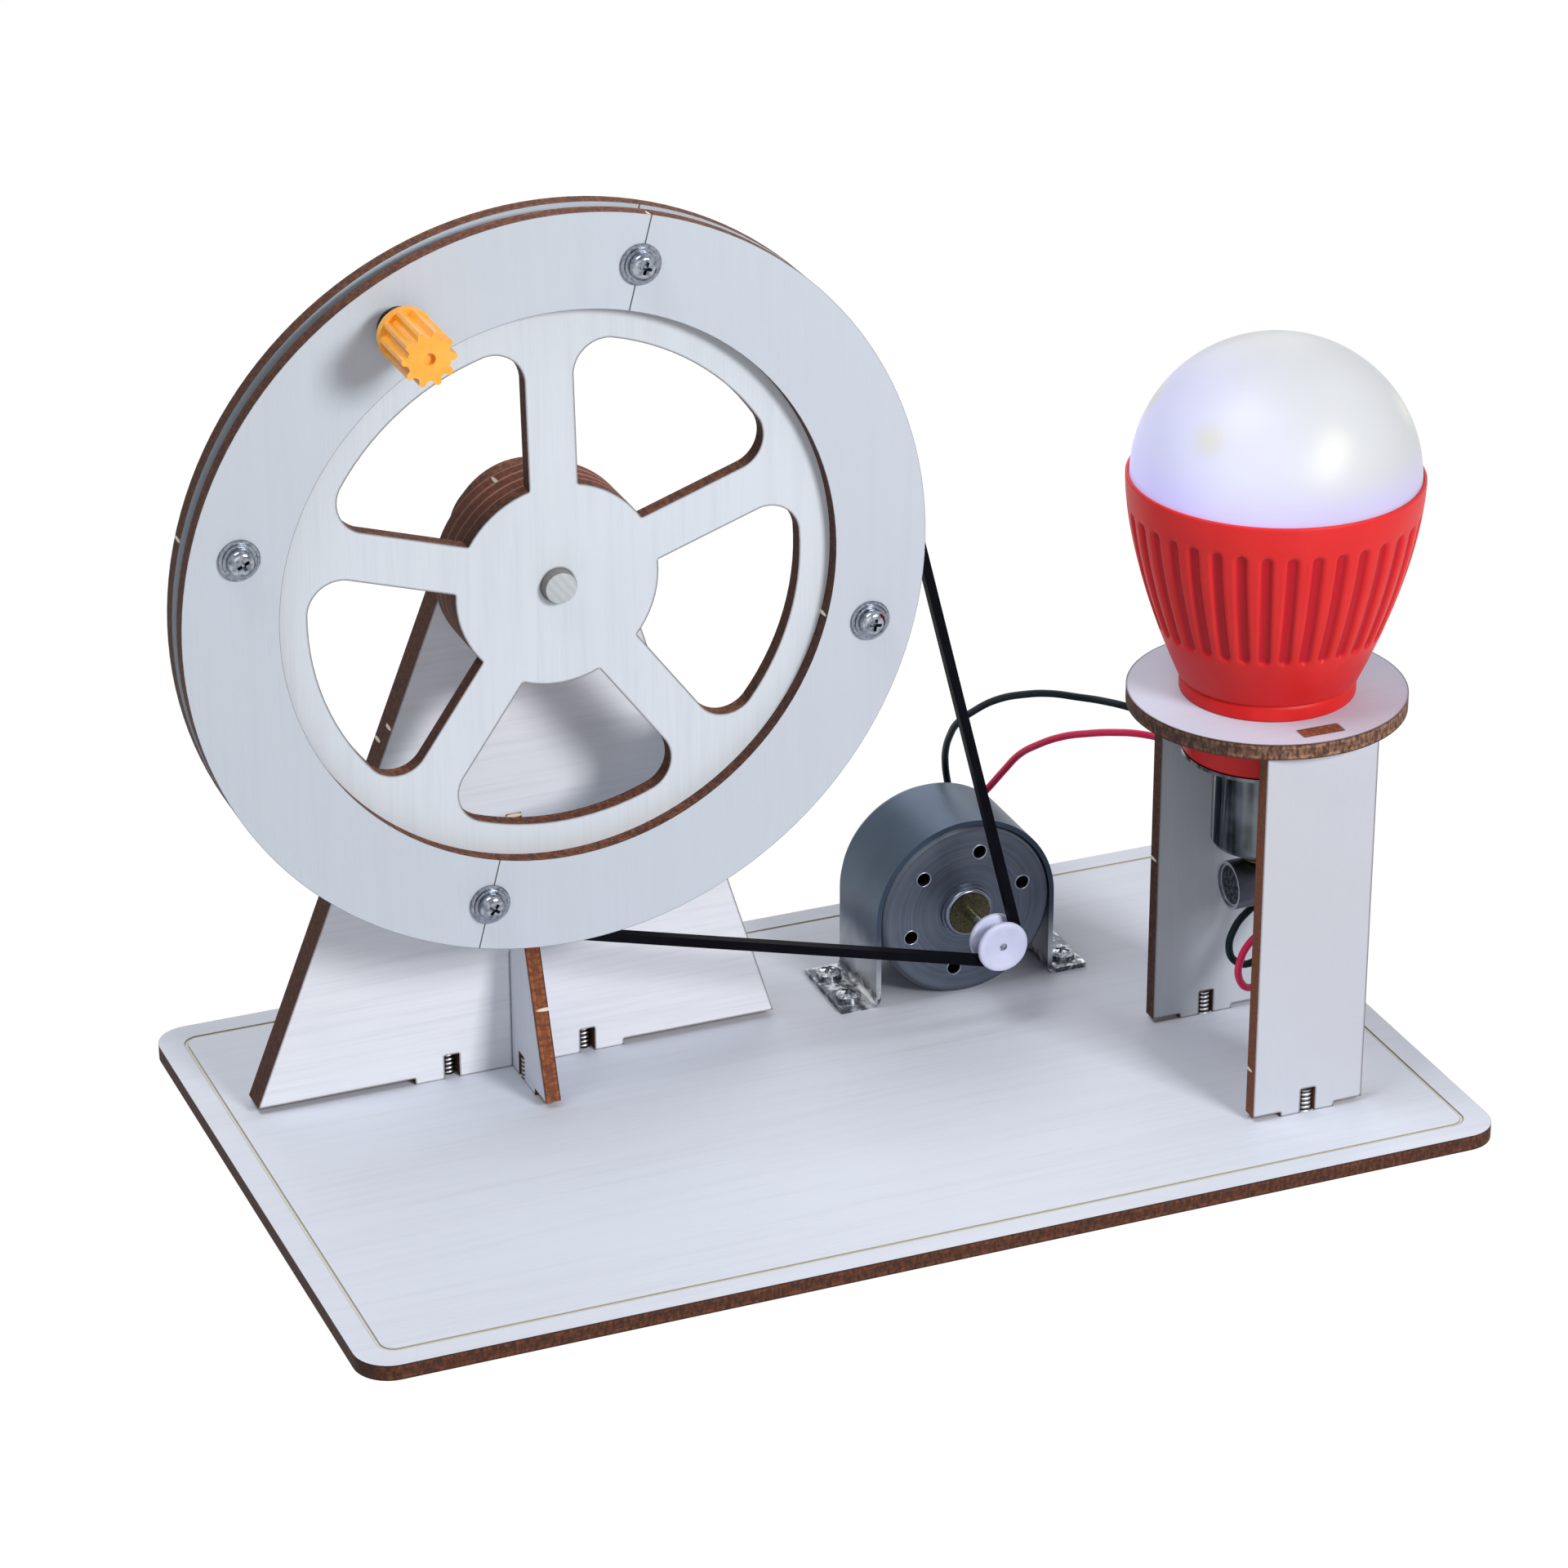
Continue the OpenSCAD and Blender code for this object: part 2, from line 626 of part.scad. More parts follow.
// Places a child on the motor's axis
module on_motor() {
    translate([motor_x, 0, motor_z]) children();
}

// Places a child at each rim screw
module at_rim_screws() {
    for (i = [0 : 3]) {
        a = rim_screw_phase + 90 * i;
        translate([rim_hole_r * cos(a), 0, rim_hole_r * sin(a)]) children();
    }
}

// A rectangle with round corners, centred
module rounded_rectangle(l, w, r) {
    square([l - 2 * r, w], center = true);
    square([l, w - 2 * r], center = true);
    for (sx = [-1, 1], sy = [-1, 1])
        translate([sx * (l / 2 - r), sy * (w / 2 - r)]) circle(r);
}

// A pan head along -Y with its seat on the plane y = 0 and a cross recess
module pan_head(r, h) {
    rise = head_dome * h;
    ball_r = (r * r + rise * rise) / (2 * rise);
    length = cross_length * r;
    blade = cross_width * r;
    depth = cross_depth * h;
    rotate([90, 0, 0]) difference() {
        intersection() {
            cylinder(h = h, r = r);
            translate([0, 0, h - ball_r]) sphere(ball_r);
        }
        for (a = [45, 135])
            rotate([0, 0, a]) translate([-length / 2, -blade / 2, h - depth]) cube([length, blade, depth + cut]);
    }
}

// A countersunk screw pointing up, its head level with the plane z = 0
module floor_screw() {
    length = cross_length * floor_head_r;
    blade = cross_width * floor_head_r;
    difference() {
        union() {
            cylinder(h = floor_head_h, r1 = floor_head_r, r2 = floor_screw_r);
            cylinder(h = ply_t + floor_screw_rise, r = floor_screw_r);
        }
        for (a = [0, 90])
            rotate([0, 0, a]) translate([-length / 2, -blade / 2, -cut])
                cube([length, blade, cut + cross_depth * floor_head_h]);
    }
}

// The hole that takes one floor screw
module floor_screw_hole() {
    translate([0, 0, -cut]) cylinder(h = ply_t + 2 * cut, r = floor_screw_r + screw_play);
    cylinder(h = floor_head_h, r1 = floor_head_r + screw_play, r2 = floor_screw_r + screw_play);
    translate([0, 0, -cut]) cylinder(h = cut, r = floor_head_r + screw_play);
}

module base_board() {
    border_l = base_l - 2 * border_inset;
    border_b = base_w - 2 * border_inset;
    color(ply_colour) difference() {
        linear_extrude(ply_t) rounded_rectangle(base_l, base_w, base_corner_r);
        translate([0, 0, ply_t - border_depth]) linear_extrude(border_depth + cut) difference() {
            rounded_rectangle(border_l, border_b, border_corner_r);
            rounded_rectangle(border_l - 2 * border_w, border_b - 2 * border_w, border_corner_r - border_w);
        }
        for (p = floor_screw_places) translate(p) floor_screw_hole();
        for (p = strap_screw_places)
            translate([p[0], p[1], ply_t - strap_screw_bite])
                cylinder(h = strap_screw_bite + cut, r = strap_screw_r + screw_play);
    }
}

module floor_screws() {
    color(steel_colour) for (p = floor_screw_places) translate(p) floor_screw();
}

// Outline of a stand plate: a wide foot, straight sides and a round top about the axle
module stand_outline() {
    axle = [wheel_x, wheel_z];
    top = axle + [top_shift, 0];
    left = [stand_foot_x - stand_foot_w / 2, stand_foot_z];
    right = [stand_foot_x + stand_foot_w / 2, stand_foot_z];
    pad = stand_pad_w / 2;
    left_touch = touch(left, top, stand_top_r - blend, -1);
    right_touch = touch(right, top, stand_top_r - blend, 1);
    difference() {
        union() {
            polygon([left, [stand_foot_x - pad, stand_foot_z], [stand_foot_x - pad, ply_t],
                [stand_foot_x + pad, ply_t], [stand_foot_x + pad, stand_foot_z], right, right_touch, top, left_touch]);
            translate(top) circle(stand_top_r);
        }
        translate(axle) circle(axle_hole_r);
        translate([stand_foot_x - ply_t / 2 - slot_play, 0]) square([ply_t + 2 * slot_play, lap_z]);
        for (p = stand_screw_places)
            translate([p[0] - screw_slot_w / 2, 0]) square([screw_slot_w, ply_t + screw_slot_h]);
    }
}

module stand_front_plate() {
    color(ply_colour) upright(stand_y) stand_outline();
}

module stand_back_plate() {
    color(ply_colour) upright(stand_y + ply_t) stand_outline();
}

// Outline of the brace in Y and Z: two wings that taper up, joined under the halving slot
module brace_outline() {
    difference() {
        polygon([[stand_y - brace_pad, ply_t], [stand_back_y + brace_pad, ply_t],
            [stand_back_y + brace_pad, stand_foot_z], [brace_back_y, stand_foot_z], [stand_back_y, brace_top_z],
            [stand_y, brace_top_z], [brace_front_y, stand_foot_z], [stand_y - brace_pad, stand_foot_z]]);
        translate([stand_y - slot_play, lap_z])
            square([stand_back_y - stand_y + 2 * slot_play, brace_h]);
        for (p = brace_screw_places)
            translate([p[1] - screw_slot_w / 2, 0]) square([screw_slot_w, ply_t + screw_slot_h]);
    }
}

module stand_brace() {
    color(ply_colour) translate([stand_foot_x - ply_t / 2, 0, 0]) rotate([90, 0, 90])
        linear_extrude(ply_t) brace_outline();
}

// A round spacer disc on the wheel's axis
module spacer_disc(y0, r, bore_r) {
    on_wheel() upright(y0) difference() {
        circle(r);
        circle(bore_r);
    }
}

module stand_spacer_front() {
    color(ply_colour) spacer_disc(stand_spacer_y, stand_spacer_r, axle_hole_r);
}

module stand_spacer_middle() {
    color(ply_colour) spacer_disc(stand_spacer_y + ply_t, stand_spacer_r, axle_hole_r);
}

module stand_spacer_back() {
    color(ply_colour) spacer_disc(stand_spacer_y + 2 * ply_t, stand_spacer_r, axle_hole_r);
}

// One half of a rim ring, split through two of its screws, turned by side
module half_ring(y0, side) {
    on_wheel() upright(y0) difference() {
        circle(wheel_r);
        circle(ring_inner_r);
        rotate(rim_screw_phase + side) translate([-wheel_r - cut, -wheel_r - cut])
            square([2 * (wheel_r + cut), wheel_r + cut + seam_gap / 2]);
        for (i = [0 : 3])
            rotate(rim_screw_phase + 90 * i) translate([rim_hole_r, 0]) circle(rim_hole_play_r);
        rotate(crank_angle) translate([rim_hole_r, 0]) circle(rim_hole_play_r);
    }
}

module front_ring_left() {
    color(ply_colour) half_ring(front_ring_y, 0);
}

module front_ring_right() {
    color(ply_colour) half_ring(front_ring_y, 180);
}

module back_ring_left() {
    color(ply_colour) half_ring(back_ring_y, 0);
}

module back_ring_right() {
    color(ply_colour) half_ring(back_ring_y, 180);
}

// Fills the outer corner of a window beside a spoke that points along X
module window_corner() {
    far = window_r + cut;
    half = spoke_w / 2 + window_corner_r;
    reach = sqrt(pow(window_r - window_corner_r, 2) - half * half);
    turn = atan2(half, reach);
    difference() {
        polygon([[reach, 0], [far, 0], far * [cos(turn), sin(turn)], [reach, half]]);
        translate([reach, half]) circle(window_corner_r + blend);
    }
}

module spoke_outline() {
    difference() {
        union() {
            difference() {
                circle(disc_r);
                circle(window_r);
            }
            circle(hub_r);
            for (i = [0 : spoke_n - 1]) rotate(spoke_phase + 360 * i / spoke_n) {
                translate([0, -spoke_w / 2]) square([window_r + cut, spoke_w]);
                window_corner();
                mirror([0, 1]) window_corner();
            }
        }
        circle(axle_seat_r);
        for (i = [0 : 3])
            rotate(rim_screw_phase + 90 * i) translate([rim_hole_r, 0]) circle(rim_hole_play_r);
        rotate(crank_angle) translate([rim_hole_r, 0]) circle(rim_hole_play_r);
    }
}

module spoke_disc() {
    color(ply_colour) on_wheel() upright(disc_y) spoke_outline();
}

module hub_spacer_front() {
    color(burnt_colour) spacer_disc(hub_spacer_y, hub_r, axle_seat_r);
}

module hub_spacer_middle() {
    color(burnt_colour) spacer_disc(hub_spacer_y + ply_t, hub_r, axle_seat_r);
}

module hub_spacer_back() {
    color(burnt_colour) spacer_disc(hub_spacer_y + 2 * ply_t, hub_r, axle_seat_r);
}

module axle() {
    color(wood_colour) on_wheel() rod(axle_y, axle_l, axle_r);
}

module axle_retainer() {
    color(ply_colour) spacer_disc(retainer_y, retainer_r, axle_seat_r);
}

module rim_screws() {
    shank = wheel_back_y + nut_t + thread_tail - front_ring_y + washer_t;
    color(steel_colour) on_wheel() at_rim_screws() translate([0, front_ring_y - washer_t, 0]) {
        pan_head(pan_head_r, pan_head_h);
        rod(0, shank, rim_screw_r);
    }
}

module rim_washers() {
    color(steel_colour) on_wheel() at_rim_screws() difference() {
        rod(front_ring_y - washer_t, washer_t, washer_r);
        rod(front_ring_y - washer_t - cut, washer_t + 2 * cut, rim_hole_play_r);
    }
}

// A hexagon nut along Y from y0
module nut(y0) {
    difference() {
        upright(y0, nut_t) circle(d = nut_w, $fn = 6);
        rod(y0 - cut, nut_t + 2 * cut, rim_hole_play_r);
    }
}

module rim_nuts() {
    color(steel_colour) on_wheel() at_rim_screws() nut(wheel_back_y);
}

module crank_screw() {
    color(steel_colour) translate([crank_x, wheel_back_y, crank_z]) {
        rotate([0, 0, 180]) pan_head(pan_head_r, pan_head_h);
        translate([0, crank_end_y - wheel_back_y, 0]) rod(0, wheel_back_y - crank_end_y, rim_screw_r);
    }
}

module crank_nut() {
    color(dark_steel_colour) translate([crank_x, 0, crank_z]) {
        difference() {
            rod(front_ring_y - washer_t, washer_t, washer_r);
            rod(front_ring_y - washer_t - cut, washer_t + 2 * cut, rim_hole_play_r);
        }
        nut(crank_nut_y);
    }
}

module crank_clip() {
    color(dark_steel_colour) translate([crank_x, 0, crank_z]) difference() {
        rod(clip_y, clip_t, clip_r);
        rod(clip_y - cut, clip_t + 2 * cut, rim_hole_play_r);
    }
}

// One tooth of the handle, pointing along X
module handle_tooth() {
    pitch = 360 / handle_teeth;
    foot = tooth_foot * pitch;
    crown = tooth_crown * pitch;
    polygon([[0, 0], handle_root_r * [cos(foot), -sin(foot)], handle_tip_r * [cos(crown), -sin(crown)],
        handle_tip_r * [cos(crown), sin(crown)], handle_root_r * [cos(foot), sin(foot)]]);
}

module crank_handle() {
    color(handle_colour) translate([crank_x, 0, crank_z]) difference() {
        upright(handle_tip_y, handle_l) {
            circle(handle_root_r);
            for (i = [0 : handle_teeth - 1]) rotate(360 * i / handle_teeth) handle_tooth();
        }
        rod(handle_tip_y - cut, handle_l + 2 * cut, handle_bore_r);
        rod(handle_tip_y - cut, handle_recess + cut, handle_recess_r);
    }
}

// Area inside a belt line that lies d outside the belt's middle line
module belt_area(d) {
    way = [motor_x - wheel_x, motor_z - wheel_z];
    gap = norm(way);
    lean = acos((wheel_belt_r - pulley_belt_r) / gap);
    big = wheel_belt_r + d - blend;
    small = pulley_belt_r + d - blend;
    translate([wheel_x, wheel_z]) rotate(atan2(way[1], way[0])) {
        circle(wheel_belt_r + d);
        translate([gap, 0]) circle(pulley_belt_r + d);
        polygon([[0, 0], big * [cos(lean), -sin(lean)], [gap, 0] + small * [cos(lean), -sin(lean)], [gap, 0],
            [gap, 0] + small * [cos(lean), sin(lean)], big * [cos(lean), sin(lean)]]);
    }
}

module drive_belt() {
    color(rubber_colour) upright(belt_y, belt_w) difference() {
        belt_area(belt_t / 2);
        belt_area(-belt_t / 2);
    }
}

module drive_pulley() {
    slope = pulley_chamfer;
    rim = pulley_flange_t;
    color(pulley_colour) on_motor() translate([0, pulley_y, 0]) rotate([-90, 0, 0]) rotate_extrude()
        polygon([[shaft_r + screw_play, 0], [pulley_r - slope, 0], [pulley_r, slope], [pulley_r, rim - slope / 2],
            [pulley_core_r, rim], [pulley_core_r, pulley_w - rim], [pulley_r, pulley_w - rim + slope / 2],
            [pulley_r, pulley_w - slope], [pulley_r - slope, pulley_w], [shaft_r + screw_play, pulley_w]]);
}

module motor_can() {
    color(steel_colour) on_motor() difference() {
        union() {
            translate([0, motor_y, 0]) rotate([-90, 0, 0]) rotate_extrude()
                polygon([[0, 0], [motor_r - can_chamfer, 0], [motor_r, can_chamfer], [motor_r, motor_l],
                    [can_inner_r, motor_l], [can_inner_r, can_wall], [0, can_wall]]);
            rod(motor_y - boss_h, boss_h + can_wall / 2, boss_r);
        }
        rod(motor_y - boss_h - cut, boss_h + can_wall + 2 * cut, bearing_r + screw_play);
        for (i = [0 : vent_n - 1]) {
            a = vent_phase + 360 * i / vent_n;
            translate([vent_circle_r * cos(a), 0, vent_circle_r * sin(a)])
                rod(motor_y - cut, can_wall + 2 * cut, vent_r);
        }
    }
}

// A bearing bush along Y
module bush(y0, l) {
    difference() {
        rod(y0, l, bearing_r);
        rod(y0 - cut, l + 2 * cut, shaft_r + run_play);
    }
}

module motor_bearings() {
    color(brass_colour) on_motor() {
        bush(motor_y - bearing_nose, bearing_nose + bearing_l);
        bush(end_cap_y, end_cap_t);
    }
}

module motor_magnets() {
    edge = magnet_angle / 2;
    color(dark_colour) on_motor() for (side = [0, 180]) rotate([0, -side, 0])
        upright(magnet_y, magnet_l) intersection() {
            difference() {
                circle(magnet_outer_r);
                circle(magnet_outer_r - magnet_t);
            }
            polygon([[0, 0], 2 * motor_r * [cos(edge), -sin(edge)], [4 * motor_r, 0],
                2 * motor_r * [cos(edge), sin(edge)]]);
        }
}

module motor_end_cap() {
    color(dark_colour) on_motor() difference() {
        rod(end_cap_y, end_cap_t, can_inner_r - screw_play);
        rod(end_cap_y - cut, end_cap_t + 2 * cut, bearing_r + screw_play);
        for (p = tag_places)
            translate([p[0] - motor_x, end_cap_y - cut, p[1] - motor_z])
                translate([-tag_w / 2 - screw_play, 0, -tag_t / 2 - screw_play])
                cube([tag_w + 2 * screw_play, end_cap_t + 2 * cut, tag_t + 2 * screw_play]);
    }
}

module motor_brushes() {
    seat_r = commutator_r + run_gap;
    color(copper_colour) on_motor() for (side = [-1, 1])
        translate([side * (seat_r + brush_t / 2) - brush_t / 2, commutator_y, -can_inner_r / 2])
            cube([brush_t, end_cap_y - commutator_y, can_inner_r]);
}

module solder_tags() {
    color(brass_colour) for (p = tag_places)
        translate([p[0] - tag_w / 2, end_cap_y, p[1] - tag_t / 2]) cube([tag_w, end_cap_t + tag_l, tag_t]);
}

module motor_shaft() {
    color(steel_colour) on_motor() rod(shaft_y, shaft_l, shaft_r);
}

// Outline of the armature's iron: a hub, a neck and a curved shoe for each pole
module core_outline(neck_w, shoe_t) {
    shoe = shoe_share * 360 / pole_n;
    difference() {
        union() {
            circle(core_hub * shaft_r);
            for (i = [0 : pole_n - 1]) rotate(90 + 360 * i / pole_n) {
                translate([0, -neck_w / 2]) square([armature_r - shoe_t / 2, neck_w]);
                intersection() {
                    difference() {
                        circle(armature_r);
                        circle(armature_r - shoe_t);
                    }
                    polygon([[0, 0], 2 * armature_r * [cos(shoe), -sin(shoe)],
                        2 * armature_r * [cos(shoe), sin(shoe)]]);
                }
            }
        }
        circle(shaft_r + screw_play);
    }
}

module armature_core() {
    color(dark_steel_colour) on_motor() upright(core_y, core_l)
        core_outline(core_neck * shaft_r, core_shoe * shaft_r);
}

module armature_coils() {
    neck = core_neck * shaft_r + 2 * screw_play;
    coil_w = neck + 2 * coil_side * shaft_r;
    inner = coil_inner * shaft_r;
    shoe_r = armature_r - core_shoe * shaft_r - screw_play;
    outer = sqrt(shoe_r * shoe_r - coil_w * coil_w / 4);
    bulge = shaft_r;
    color(copper_colour) on_motor() for (i = [0 : pole_n - 1])
        rotate([0, -90 - 360 * i / pole_n, 0]) difference() {
            translate([inner, core_y - bulge, -coil_w / 2]) cube([outer - inner, core_l + 2 * bulge, coil_w]);
            translate([inner - cut, core_y - screw_play, -neck / 2])
                cube([outer - inner + 2 * cut, core_l + 2 * screw_play, neck]);
        }
}

module commutator() {
    color(brass_colour) on_motor() difference() {
        rod(commutator_y, commutator_l, commutator_r);
        rod(commutator_y - cut, commutator_l + 2 * cut, shaft_r + screw_play);
    }
}

// Section of the strap in X and Z about the motor's axis: an arch, two legs, two bends and two feet
module strap_outline() {
    floor_z = ply_t - motor_z;
    bend_z = floor_z + strap_t + strap_bend_r;
    intersection() {
        difference() {
            circle(strap_outer_r);
            circle(strap_inner_r);
        }
        translate([-2 * motor_r, 0]) square([4 * motor_r, 2 * motor_r]);
    }
    for (side = [0, 1]) mirror([side, 0]) {
        translate([strap_inner_r, bend_z]) square([strap_t, -bend_z]);
        intersection() {
            translate([strap_foot_x, bend_z]) difference() {
                circle(strap_bend_r + strap_t);
                circle(strap_bend_r);
            }
            translate([strap_inner_r, floor_z]) square(strap_bend_r + strap_t);
        }
        translate([strap_foot_x, floor_z]) square([strap_foot - strap_bend_r, strap_t]);
    }
}

module motor_strap() {
    color(steel_colour) difference() {
        on_motor() upright(strap_y, strap_w) strap_outline();
        for (p = strap_screw_places)
            translate([p[0], p[1], ply_t - cut]) cylinder(h = strap_t + 2 * cut, r = strap_screw_r + screw_play);
    }
}

module strap_screws() {
    reach = strap_screw_bite + strap_t;
    color(steel_colour) for (p = strap_screw_places) translate([p[0], p[1], ply_t + strap_t]) {
        rotate([-90, 0, 0]) pan_head(strap_head_r, strap_head_h);
        translate([0, 0, -reach]) cylinder(h = reach, r = strap_screw_r);
    }
}

// Outline of a lamp leg in X and Z: a raised foot with a pad, a straight board and a tab on top
module leg_outline() {
    left = lamp_x - leg_w / 2;
    right = lamp_x + leg_w / 2;
    pad = leg_pad_w / 2;
    foot_z = ply_t + leg_lift;
    difference() {
        union() {
            polygon([[left, foot_z], [lamp_x - pad, foot_z], [lamp_x - pad, ply_t], [lamp_x + pad, ply_t],
                [lamp_x + pad, foot_z], [right, foot_z], [right, plate_z], [left, plate_z]]);
            translate([lamp_x - tab_w / 2, plate_z - cut]) square([tab_w, ply_t + cut]);
        }
        translate([lamp_x - screw_slot_w / 2, 0]) square([screw_slot_w, ply_t + screw_slot_h]);
    }
}

module lamp_leg_front() {
    color(ply_colour) upright(lamp_y - leg_gap / 2 - ply_t / 2) leg_outline();
}

module lamp_leg_back() {
    color(ply_colour) upright(lamp_y + leg_gap / 2 - ply_t / 2) leg_outline();
}

module lamp_plate() {
    slot_l = tab_w + 2 * slot_play;
    slot_b = ply_t + 2 * slot_play;
    color(ply_colour) translate([lamp_x, lamp_y, plate_z]) difference() {
        cylinder(h = ply_t, r = lamp_plate_r);
        translate([0, 0, -cut]) cylinder(h = ply_t + 2 * cut, r = neck_r + neck_play);
        for (side = [-1, 1])
            translate([-slot_l / 2, side * leg_gap / 2 - slot_b / 2, -cut]) cube([slot_l, slot_b, ply_t + 2 * cut]);
    }
}

// Outline of the flared body between two shares of its height in n steps, moved out by d
function flare_line(low, high, d, n) = [for (i = [0 : n])
    let (u = low + (high - low) * i / n)
    [flare(u) + d, flare_z + flare_h * u]];

// Cutter for one cooling groove along X
module rib_groove() {
    low = rib_low / flare_h;
    high = 1 - rib_high / flare_h;
    inner = flare_line(low, high, -rib_groove_d, groove_steps);
    outer = flare_line(low, high, cut, 1);
    translate([0, rib_groove_w / 2, 0]) rotate([90, 0, 0]) linear_extrude(rib_groove_w)
        polygon(concat(inner, [outer[1], [outer[1][0], outer[0][1]]]));
}

module bulb_body() {
    lip_z = flare_top_z + lip_h;
    outside = concat([[neck_r, neck_z], [neck_r, plate_top_z], [collar_r, plate_top_z],
        [collar_r, plate_top_z + collar_h]], flare_line(0, 1, 0, profile_steps),
        [[flare_r, lip_z], [flare_r - lip_t, lip_z], [flare_r - lip_t, flare_top_z]]);
    inside = concat([[neck_r - bulb_wall, neck_z], [neck_r - bulb_wall, flare_z]],
        flare_line(0, 1, -bulb_wall, profile_steps));
    back = [for (i = [len(inside) - 1 : -1 : 0]) inside[i]];
    color(bulb_red) translate([lamp_x, lamp_y, 0]) difference() {
        rotate_extrude() polygon(concat(outside, back));
        for (i = [0 : rib_n - 1]) rotate([0, 0, 360 * i / rib_n]) rib_groove();
    }
}

module bulb_dome() {
    outer = quarter(dome_r, dome_h);
    inner = quarter(dome_r - dome_wall, dome_h - dome_wall);
    color(dome_colour) translate([lamp_x, lamp_y, flare_top_z]) rotate_extrude()
        polygon(concat(outer, [for (i = [profile_steps : -1 : 0]) inner[i]]));
}

module led_board() {
    color(ply_colour) translate([lamp_x, lamp_y, led_board_z]) difference() {
        cylinder(h = led_board_t, r = led_board_r);
        for (side = [-1, 1])
            translate([side * feed_off, 0, -cut]) cylinder(h = led_board_t + 2 * cut, r = feed_r + screw_play);
    }
}

module led_chips() {
    color(dome_colour) translate([lamp_x, lamp_y, flare_top_z]) for (i = [0 : led_n - 1])
        rotate([0, 0, 360 * i / led_n]) translate([led_circle_r - led_size / 2, -led_size / 2, 0])
            cube([led_size, led_size, led_h]);
}

module feed_wires() {
    color(copper_colour) for (side = [-1, 1])
        translate([lamp_x + side * feed_off, lamp_y, insulator_top_z])
            cylinder(h = flare_top_z - insulator_top_z, r = feed_r);
}

module bulb_cap() {
    rim = cap_r + cap_wall;
    flange_r = neck_r - slot_play;
    color(steel_colour) translate([lamp_x, lamp_y, 0]) rotate_extrude()
        polygon([[cap_r - cap_wall, cap_z], [cap_r - cap_wall / 2, cap_z], [cap_r, cap_z + cap_wall],
            [cap_r, neck_z - 3 * cap_wall], [rim, neck_z - 2 * cap_wall], [rim, neck_z - cap_wall],
            [flange_r, neck_z - cap_wall], [flange_r, neck_z], [cap_r - cap_wall, neck_z]]);
}

module cap_insulator() {
    seat_r = cap_r - cap_wall - slot_play;
    color(dark_colour) translate([lamp_x, lamp_y, 0]) rotate_extrude()
        polygon([[0, insulator_z], [insulator_tip_r, insulator_z], [seat_r, cap_z], [seat_r, insulator_top_z],
            [0, insulator_top_z]]);
}

module cap_contact() {
    bevel = contact_l / 3;
    color(brass_colour) translate([lamp_x, lamp_y, contact_z]) rotate_extrude()
        polygon([[0, 0], [contact_r - bevel, 0], [contact_r, bevel], [contact_r, contact_l], [0, contact_l]]);
}

// A rod along X from x0 at the capacitor's axis
module rod_x(x0, l, r) {
    translate([x0, lamp_y, capacitor_z]) rotate([0, 90, 0]) cylinder(h = l, r = r);
}

module capacitor() {
    color(dark_colour) difference() {
        rod_x(capacitor_x, capacitor_l - seal_t, capacitor_r);
        rod_x(capacitor_x - cut, capacitor_sink + cut, capacitor_r - capacitor_sleeve);
    }
}

module capacitor_seal() {
    color(rubber_colour) difference() {
        rod_x(capacitor_end_x - seal_t, seal_t, capacitor_r - capacitor_sleeve);
        for (s = [-1, 1])
            translate([0, s * lead_gap / 2, 0])
                rod_x(capacitor_end_x - seal_t - cut, seal_t + 2 * cut, lead_r + screw_play);
    }
}

// A bent lead at depth y: out of the capacitor, up to height z and back in to the place x
module bent_lead(y, z, x) {
    translate([0, y, 0]) {
        translate([capacitor_end_x - seal_t, 0, capacitor_z]) rotate([0, 90, 0])
            cylinder(h = lead_bend_x - capacitor_end_x + seal_t, r = lead_r);
        translate([lead_bend_x, 0, capacitor_z]) sphere(lead_r);
        translate([lead_bend_x, 0, capacitor_z]) cylinder(h = z - capacitor_z, r = lead_r);
        translate([lead_bend_x, 0, z]) sphere(lead_r);
        translate([x, 0, z]) rotate([0, 90, 0]) cylinder(h = lead_bend_x - x, r = lead_r);
    }
}

// The front lead ends at the cap's side and the back lead at its centre contact
module capacitor_leads() {
    side_x = lamp_x + sqrt(cap_r * cap_r - lead_gap * lead_gap / 4) + slot_play;
    middle_x = lamp_x + sqrt(contact_r * contact_r - lead_gap * lead_gap / 4) + slot_play;
    color(steel_colour) {
        bent_lead(front_lead_y, cap_z + cap_l / 4, side_x);
        bent_lead(back_lead_y, contact_z + contact_l / 2, middle_x);
    }
}

module solder_beads() {
    color(steel_colour) {
        for (p = tag_places) translate([p[0], tag_end_y, p[1]]) sphere(solder_r);
        for (y = [front_lead_y, back_lead_y]) translate([bead_x, y, capacitor_z]) sphere(solder_r);
    }
}

module black_wire() {
    color(rubber_colour) tube(black_route, wire_r);
}

module red_wire() {
    color(red_wire_colour) tube(red_route, wire_r);
}

base_board();
floor_screws();
stand_front_plate();
stand_back_plate();
stand_brace();
stand_spacer_front();
stand_spacer_middle();
stand_spacer_back();
front_ring_left();
front_ring_right();
spoke_disc();
back_ring_left();
back_ring_right();
hub_spacer_front();
hub_spacer_middle();
hub_spacer_back();
axle();
axle_retainer();
rim_screws();
rim_washers();
rim_nuts();
crank_screw();
crank_nut();
crank_clip();
crank_handle();
drive_belt();
drive_pulley();
motor_can();
motor_bearings();
motor_magnets();
motor_end_cap();
motor_brushes();
solder_tags();
motor_shaft();
armature_core();
armature_coils();
commutator();
motor_strap();
strap_screws();
lamp_leg_front();
lamp_leg_back();
lamp_plate();
bulb_body();
bulb_dome();
led_board();
led_chips();
feed_wires();
bulb_cap();
cap_insulator();
cap_contact();
capacitor();
capacitor_seal();
capacitor_leads();
solder_beads();
black_wire();
red_wire();
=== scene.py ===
"""Looks of a hand crank generator: a plywood flywheel, a small dynamo, a belt drive and a red lamp."""

